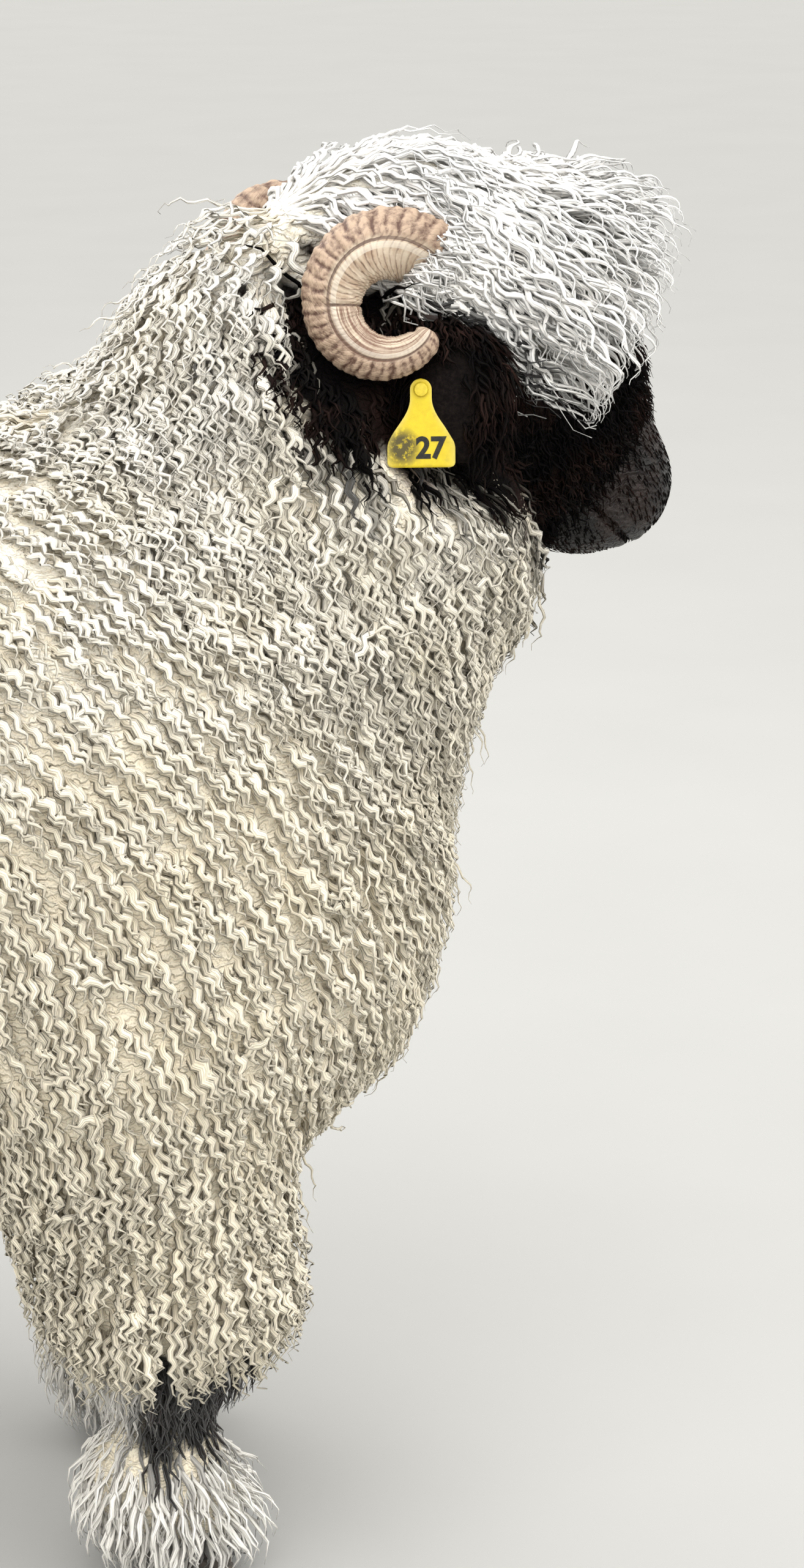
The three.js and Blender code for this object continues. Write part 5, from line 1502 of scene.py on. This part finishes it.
def ear_tag(side):
    """A soft plate: its half width at each height runs from a round neck, out along a curve to its
    rounded lower corners, and it is laid out as rows across, front and back, with rounded edges."""
    spot, across, over, outside = tag_frame(side)
    rows, columns = 90, 48
    drop = np.linspace(0, 1, rows)
    top, bottom = TAG_NECK, -(TAG_HEIGHT - TAG_NECK)
    y = mix(top, bottom, drop)
    round_top = np.sqrt(np.maximum(0, TAG_NECK ** 2 - np.clip(y, 0, None) ** 2))
    flare = mix(TAG_NECK, TAG_WIDTH / 2, smooth(-y, 4 * MM, 38 * MM) ** 1.25)
    low = np.clip((bottom + TAG_CORNER - y) / TAG_CORNER, 0, 1)
    half = np.where(y > 0, round_top, flare) - TAG_CORNER * (1 - np.sqrt(1 - low ** 2))
    half = np.maximum(half, 0.4 * MM)
    turn = around(columns)
    wide = np.sign(np.cos(turn)) * np.abs(np.cos(turn)) ** 0.35
    thick = np.sign(np.sin(turn)) * np.abs(np.sin(turn)) ** 0.35
    u = half[:, None] * wide[None, :]
    end = np.minimum(1, np.minimum(drop, 1 - drop)[:, None] * 40 + 0.25)
    w = TAG_STAND_OFF + TAG_WALL / 2 + TAG_WALL * 0.5 * thick[None, :] * end
    points = spot + u[..., None] * across + y[:, None, None] * over + w[..., None] * outside
    return shell("ear_tag_plate", points, over=(y[:, None], [top, bottom]), aside=(u, [0, 0]),
                 edge=(np.abs(wide) ** 8, [1, 1]))


TAG_YELLOW, TAG_LIGHT, TAG_WORN = (0.60, 0.44, 0.006, 1), (0.68, 0.53, 0.012, 1), (0.72, 0.66, 0.30, 1)
TAG_SMUDGE, TAG_GRIME = (0.012, 0.012, 0.010, 1), (0.20, 0.15, 0.05, 1)


def tag_finish(tree):
    """Yellow plastic, scuffed, paler at its worn edges, with an old ink smudge low on one side."""
    place = place_of(tree)
    over, aside, edge = attribute(tree, "over"), attribute(tree, "aside"), attribute(tree, "edge")
    fleck = noise(tree, place, 260.0, 4.0, 0.65)
    colour = blend_colours(tree, remap(tree, fleck, 0.3, 0.7), TAG_YELLOW, TAG_LIGHT)
    colour = blend_colours(tree, times(tree, edge, 0.35), colour, TAG_WORN)

    def square_reach(value, middle, size):
        """The square of how far a value is from the smudge's middle, over the smudge's size."""
        return maths(tree, "POWER", maths(tree, "DIVIDE", plus(tree, value, -middle), size), 2.0)

    reach = plus(tree, square_reach(aside, -12 * MM, 9 * MM), square_reach(over, -37 * MM, 10 * MM))
    blots = remap(tree, noise(tree, place, 210.0, 4.0, 0.75), 0.34, 0.50)
    smudge = times(tree, remap(tree, reach, 1.9, 0.4), blots)
    colour = blend_colours(tree, times(tree, smudge, 0.9), colour, TAG_SMUDGE)
    grime = remap(tree, noise(tree, place, 90.0, 4.0, 0.7), 0.58, 0.75)
    return {
        "Base Color": blend_colours(tree, times(tree, grime, 0.4), colour, TAG_GRIME),
        "Roughness": remap(tree, fleck, 0.3, 0.7, 0.38, 0.55),
        "Normal": bumped(tree, fleck, 0.25, 0.3 * MM),
    }


def tag_digits(side):
    """The number on the tag, as thin raised ink."""
    spot, across, over, outside = tag_frame(side)
    words = bpy.data.curves.new("digits", "FONT")
    words.body = "27"
    words.size = 19 * MM
    words.align_x = "CENTER"
    words.align_y = "CENTER"
    words.extrude = 0.12 * MM
    words.offset = 0.7 * MM
    words.resolution_u = 6
    holder = new_object("digits_curve", words)
    graph = bpy.context.evaluated_depsgraph_get()
    mesh = bpy.data.meshes.new_from_object(holder.evaluated_get(graph))
    bpy.data.objects.remove(holder)
    x, y, z = points_of(mesh).T[..., None]
    face = TAG_STAND_OFF + TAG_WALL + 0.14 * MM
    placed = spot + (x + 6 * MM) * across + (y - 38 * MM) * over + (z + face) * outside
    mesh.vertices.foreach_set("co", placed.astype(np.float32).reshape(-1))
    mesh.name = "ear_tag_number"
    mesh.update()
    mesh.materials.clear()
    return new_object("ear_tag_number", mesh)


INK_BLACK, INK_FADED = (0.006, 0.006, 0.006, 1), (0.045, 0.038, 0.010, 1)
STUD_YELLOW, STUD_SHADED = (0.72, 0.55, 0.03, 1), (0.54, 0.4125, 0.0225, 1)
FLOOR_GREY, FLOOR_LIGHT = (0.38, 0.38, 0.37, 1), (0.41, 0.41, 0.40, 1)


def ink_finish(tree):
    """Marker ink, matt and a little faded."""
    fade = remap(tree, noise(tree, place_of(tree), 500.0, 3.0, 0.7), 0.45, 0.8)
    return {"Base Color": blend_colours(tree, fade, INK_BLACK, INK_FADED), "Roughness": 0.7}


def stud_finish(tree):
    """Speckled yellow plastic."""
    fleck = noise(tree, place_of(tree), 400.0, 3.0, 0.6)
    return {
        "Base Color": blend_colours(tree, remap(tree, fleck, 0.35, 0.7), STUD_YELLOW, STUD_SHADED),
        "Roughness": remap(tree, fleck, 0.3, 0.7, 0.4, 0.55),
    }


def floor_finish(tree):
    """A pale matt floor, a little uneven."""
    grain = noise(tree, place_of(tree), 3.0)
    return {"Base Color": blend_colours(tree, grain, FLOOR_GREY, FLOOR_LIGHT), "Roughness": 0.8}


SENSOR = 36.0
FLOOR_HALF = 40.0
SKY_COLOUR = (1.0, 0.985, 0.95, 1)
SKY_STRENGTH = 1.6
# Each lamp's place, its width in metres and its power in watts, and the place that they all look at.
LAMPS = (
    ((-0.6, -2.0, 3.6), 3.0, 52),
    ((2.8, -1.6, 2.2), 2.4, 26),
    ((-1.5, 2.6, 2.8), 2.4, 40),
    ((0.45, -0.5, 2.9), 1.6, 12),
)
LAMP_AIM = np.array([0.15, 0.0, 0.6])


def camera():
    """The photograph's view: from beside the shoulder, a little above the back."""
    data = bpy.data.cameras.new("camera")
    data.sensor_fit = "VERTICAL"
    data.sensor_height = SENSOR
    data.sensor_width = SENSOR
    data.lens = SENSOR / 2 / math.tan(CAMERA_VIEW_HEIGHT / 2)
    made = new_object("camera", data)
    made.location = CAMERA_PLACE
    made.rotation_euler = (math.pi / 2 - CAMERA_DOWN, 0, CAMERA_AZIMUTH)
    bpy.context.scene.camera = made


def studio():
    """A wide pale floor, a pale sky and large soft lamps: one high beside the camera, one before the
    animal, one behind it on its left, and a smaller one over its head."""
    corners = FLOOR_HALF * np.array([[-1, -1, 0], [1, -1, 0], [1, 1, 0], [-1, 1, 0]])
    floor = new_mesh("floor", corners, np.array([[0, 1, 2, 3]]), smooth_faces=False)
    floor.data.materials.append(material_of("floor", floor_finish))
    world = bpy.data.worlds.new("sky")
    world.use_nodes = True
    background = world.node_tree.nodes["Background"]
    background.inputs[0].default_value = SKY_COLOUR
    background.inputs[1].default_value = SKY_STRENGTH
    bpy.context.scene.world = world
    bpy.context.scene.view_settings.view_transform = "Standard"
    for number, (place, size, power) in enumerate(LAMPS):
        data = bpy.data.lights.new(f"lamp_{number}", "AREA")
        data.shape = "DISK"
        data.size = size
        data.energy = power
        made = new_object(f"lamp_{number}", data)
        made.location = place
        aim = LAMP_AIM - np.array(place)
        made.rotation_euler = (math.acos(-unit(aim)[2]), 0, math.atan2(aim[1], aim[0]) - math.pi / 2)


WOOLLY_NODES = ("head", "neck", "chest", "barrel", "rump", "tail", "foreleg_right", "foreleg_left",
                "hindleg_right", "hindleg_left")
SKIN_BLACK_SPREAD = 13 * MM


def build():
    """The whole animal, from the skin out."""
    camera()
    studio()
    rng = np.random.default_rng(7)
    points, triangles = skin_surface()
    bare = smooth(head_local(points)[0], 170 * MM, 215 * MM)
    skin = new_mesh("skin", points, triangles, {"mark": blackness(points, SKIN_BLACK_SPREAD), "bare": bare})
    finish_piece(skin, "white_wool", material_of("skin", skin_finish), *WOOLLY_NODES)

    horn_material, ear_material = material_of("horn", horn_finish), material_of("ear_skin", ear_finish)
    eye_material, hoof_material = material_of("eye", eye_finish), material_of("hoof_horn", hoof_finish)
    for side, name in SIDE_NAMES.items():
        finish_piece(horn(side), "horn", horn_material, f"horn_{name}")
        finish_piece(ear(side), "ear", ear_material, f"ear_{name}")
        finish_piece(eye(side), "eye", eye_material, f"eye_{name}")
        for kind in ("fore", "hind"):
            for half_name, place in (("inner", -1), ("outer", 1)):
                made, node_name = claw(kind, side, half_name, place)
                finish_piece(made, "hoof_horn", hoof_material, node_name)
    finish_piece(ear_tag(-1), "ear_tag", material_of("tag_plastic", tag_finish), "ear_tag")
    finish_piece(tag_digits(-1), "ear_tag", material_of("ink", ink_finish))
    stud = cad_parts["ear_tag_stud"]
    stud.data.materials.clear()
    stud.data.materials.append(material_of("stud", stud_finish))

    dress((points, triangles), rng)


# Where the hind legs end behind, and where the neck's wool begins by the sum of x and z.
LEGS_END_X = -0.51
NECK_WOOL_FROM = 0.900


def zone(test):
    """How much of a zone the middles of triangles are in, from the distances and the places on the head
    there."""
    def keep(middles):
        trunk, head, leg, tail = regions(middles)
        along, _, crest = head_local(middles)
        near = dict(p=middles, trunk=trunk, head=head, leg=leg, tail=tail, along=along,
                    crown=crown_share(along, crest), mark=blackness(middles))
        return test(near).astype(float)
    return keep


def on_leg(near):
    """On a leg, below the trunk."""
    low = (near["p"][:, 2] < LEG_TOP_Z) & (near["p"][:, 0] > LEGS_END_X)
    return (near["leg"] < np.minimum(near["trunk"], near["head"]) - 4 * MM) & low


def in_crown(near):
    """Where the long wool of the forelock grows."""
    return (near["head"] < near["trunk"] + 12 * MM) & (near["crown"] > 0.45)


def in_fleece(near):
    """On the trunk and the neck."""
    on_trunk = (near["head"] > near["trunk"] - 2 * MM) & (near["tail"] > near["trunk"])
    return ~on_leg(near) & ~in_crown(near) & on_trunk


def on_face(near):
    """On the face and the cheeks."""
    return (near["head"] < near["trunk"] - 2 * MM) & ~in_crown(near)


def hem_height(points):
    """Where the trousers of wool end."""
    return fore_or_hind(points[:, 0], FORE_HEM_Z, HIND_HEM_Z)


def on_neck(near):
    """High and forward on the trunk."""
    return near["p"][:, 0] - SHIFT_X + near["p"][:, 2] > NECK_WOOL_FROM


def spray(roots):
    """How high the forelock stands for its coat: full at the nape, flatter over the poll, and most
    towards the brow, where it juts out over the face."""
    along, _, _ = head_local(roots)
    return mix(mix(0.95, 0.60, smooth(along, -140 * MM, -90 * MM)), 1.72, smooth(along, -50 * MM, 80 * MM))


def forelock_length(roots):
    """Long over the poll and shorter towards the brow and down the temples."""
    along, left, _ = head_local(roots)
    forward = smooth(along, -10 * MM, 60 * MM)
    return mix(104 * MM, 54 * MM, forward) * mix(1.0, 0.85, smooth(np.abs(left), 30 * MM, 70 * MM))


def trouser_length(roots):
    """Long locks high on the leg, and shorter ones near the hem, so that none hangs far below it."""
    return np.clip(roots[:, 2] - hem_height(roots) - 12 * MM, 22 * MM, 52 * MM)


def off_the_face(line):
    """Keeps the locks that don't cross the face below the brow."""
    along, left, crest = head_local(line)
    before = (along > 105 * MM) & (np.abs(left) < 80 * MM)
    return ~(before & (crest > -100 * MM) & (crest < 12 * MM)).any(axis=0)


TAG_CLEARANCE = 4 * MM
TAG_VIEW_ROOM = 0.10
MUZZLE_HAIR_FROM = 205 * MM
SHANK_WOOL_RISE = 38 * MM
SHANK_WOOL_FROM_Z = 40 * MM
TAIL_WOOL_FROM_Z = 0.27
FIRST_COAT_SEED = 21
BRIGHT_TONES = {
    "Cream Amount": 0.25, "White": (0.94, 0.93, 0.91, 1), "Yolk": (0.95, 0.92, 0.85, 1),
    "Deep": (0.95, 0.91, 0.84, 1),
}


def in_white_fleece(near):
    """On the trunk and the neck, where the wool is white."""
    return in_fleece(near) & (near["mark"] < 0.5)


def on_tail(near):
    """On the tail, down to near its end."""
    return (near["tail"] <= near["trunk"]) & (near["p"][:, 2] > TAIL_WOOL_FROM_Z)


def above_hem(near):
    """So high that the long wool of the trousers grows."""
    return near["p"][:, 2] > hem_height(near["p"]) + SHANK_WOOL_RISE


def in_shank_wool(near):
    """On a leg, from the foot to a little over the hem of the trousers."""
    return on_leg(near) & ~above_hem(near) & (near["p"][:, 2] > SHANK_WOOL_FROM_Z)


def dress(surface, rng):
    """The coat, zone by zone."""
    white = lock_wool("white_locks", 4.0, 0.3, 0.15)
    bright = lock_wool("bright_locks", 2.0, 0.4, 0.2, **BRIGHT_TONES)
    dark = lock_wool("black_locks", 2.0, 0.0, 0.06)
    tag_low, tag_high = (np.array(corner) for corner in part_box("ear_tag"))
    tag_low, tag_high = tag_low - TAG_CLEARANCE, tag_high + TAG_CLEARANCE
    tag_low[1] -= TAG_VIEW_ROOM

    def bare_tag(line):
        """Keeps the hairs of the ear that leave the tag free."""
        return ~((line > tag_low) & (line < tag_high)).all(axis=2).any(axis=0)

    def off_the_tag(line):
        """Keeps the locks that don't hang in front of the tag."""
        return bare_tag(line) & clear_of_horns(line)

    def off_the_black(line):
        """Keeps the white locks of the body that leave the tag free and end off the black of the head."""
        return off_the_tag(line) & off_the_face(line) & (blackness(line[-1]) < 0.6)

    def short_of_the_nose(line):
        """Keeps the locks of the forelock that end before the nose."""
        along, left, _ = head_local(line)
        return off_the_tag(line) & (along + 0.55 * np.abs(left) < 200 * MM).all(axis=0)

    # Each zone has its spacing in millimetres, where it lies, its finish and the cut of its locks.
    white_zones = {
        "fleece": (12.8, lambda near: in_white_fleece(near) & ~on_neck(near), white, style()),
        "neck_wool": (10.2, lambda near: in_white_fleece(near) & on_neck(near), white, style(
            stations=stations(17), length=always(58 * MM), period=16.5 * MM, wave=2.6 * MM, width=6.6 * MM,
            flat=0.34, jitter=0.6, stray=0.3, clear=off_the_black)),
        "wisps": (46.0, in_white_fleece, white, style(
            stations=stations(14), length=always(52 * MM), tip=always(1.10), uneven=0.10, wild=0.1,
            width=2.6 * MM, flat=0.8, wave=2.4 * MM, period=17 * MM, stray=0.5, cling=0.5,
            clear=off_the_black)),
        "forelock": (7.1, in_crown, bright, style(
            stations=stations(19), length=forelock_length, vary=0.3, tip=spray, uneven=0.12, lie=crown_lie,
            droop=0.3, cling=0.45, turn=0.4, period=24 * MM, jitter=1.0, wave=2.8 * MM, curl=1.7,
            width=5.4 * MM, stray=0.40, wild=0.0, flat=0.45, taper=0.35, clear=short_of_the_nose)),
        "leg_wool": (12.7, lambda near: on_leg(near) & above_hem(near), white, style(
            stations=stations(14), lie=hanging_lie, length=trouser_length, wave=2.4 * MM, curl=1.6,
            period=14 * MM, jitter=0.7, depth=0.7, droop=0.3, width=8.0 * MM, flat=0.34)),
        "shank_wool": (7.0, in_shank_wool, bright, style(
            stations=stations(7), lie=hanging_lie, length=always(34 * MM), wave=1.8 * MM, period=24 * MM,
            jitter=1.0, width=4.4 * MM, stray=0.4, flat=0.5, taper=0.3, uneven=0.3, wild=0.0)),
        "tail_wool": (11.0, on_tail, white, style(
            lie=hanging_lie, length=always(52 * MM), droop=0.4, jitter=0.7)),
    }
    dark_zones = {
        "ear_ruff": (7.0, lambda near: in_fleece(near) & (near["mark"] >= 0.5), dark, style(
            stations=stations(10), length=always(32 * MM), period=14 * MM, jitter=1.0, stray=0.8,
            width=4.2 * MM, flat=0.6, wave=2.0 * MM, clear=off_the_tag)),
        "face_wool": (5.1, lambda near: on_face(near) & (near["along"] < MUZZLE_HAIR_FROM), dark, style(
            stations=stations(7), length=always(20 * MM), lie=face_lie, wave=1.5 * MM, period=13 * MM,
            jitter=1.0, width=2.9 * MM, curl=1.4, stray=0.8, wild=0.15, flat=0.6, clear=off_the_tag)),
        "muzzle_hair": (5.0, lambda near: on_face(near) & (near["along"] >= MUZZLE_HAIR_FROM), dark, style(
            stations=stations(4, 0.1, 1), length=always(9 * MM), lie=face_lie, wave=0.2 * MM, jitter=1.0,
            width=1.7 * MM, stray=0.3, wild=0.0, flat=0.6)),
    }
    seed = FIRST_COAT_SEED
    for zones, slot in ((white_zones, "white_wool"), (dark_zones, "black_wool")):
        for name, (spacing, test, material, cut) in zones.items():
            roots = strewn(*surface, spacing * MM, zone(test), rng)
            grow(name, roots, cut, seed, slot, material)
            seed += 1
    for side, name in SIDE_NAMES.items():
        ear_wool(side, f"ear_wool_{name}", dark, bare_tag)


build()
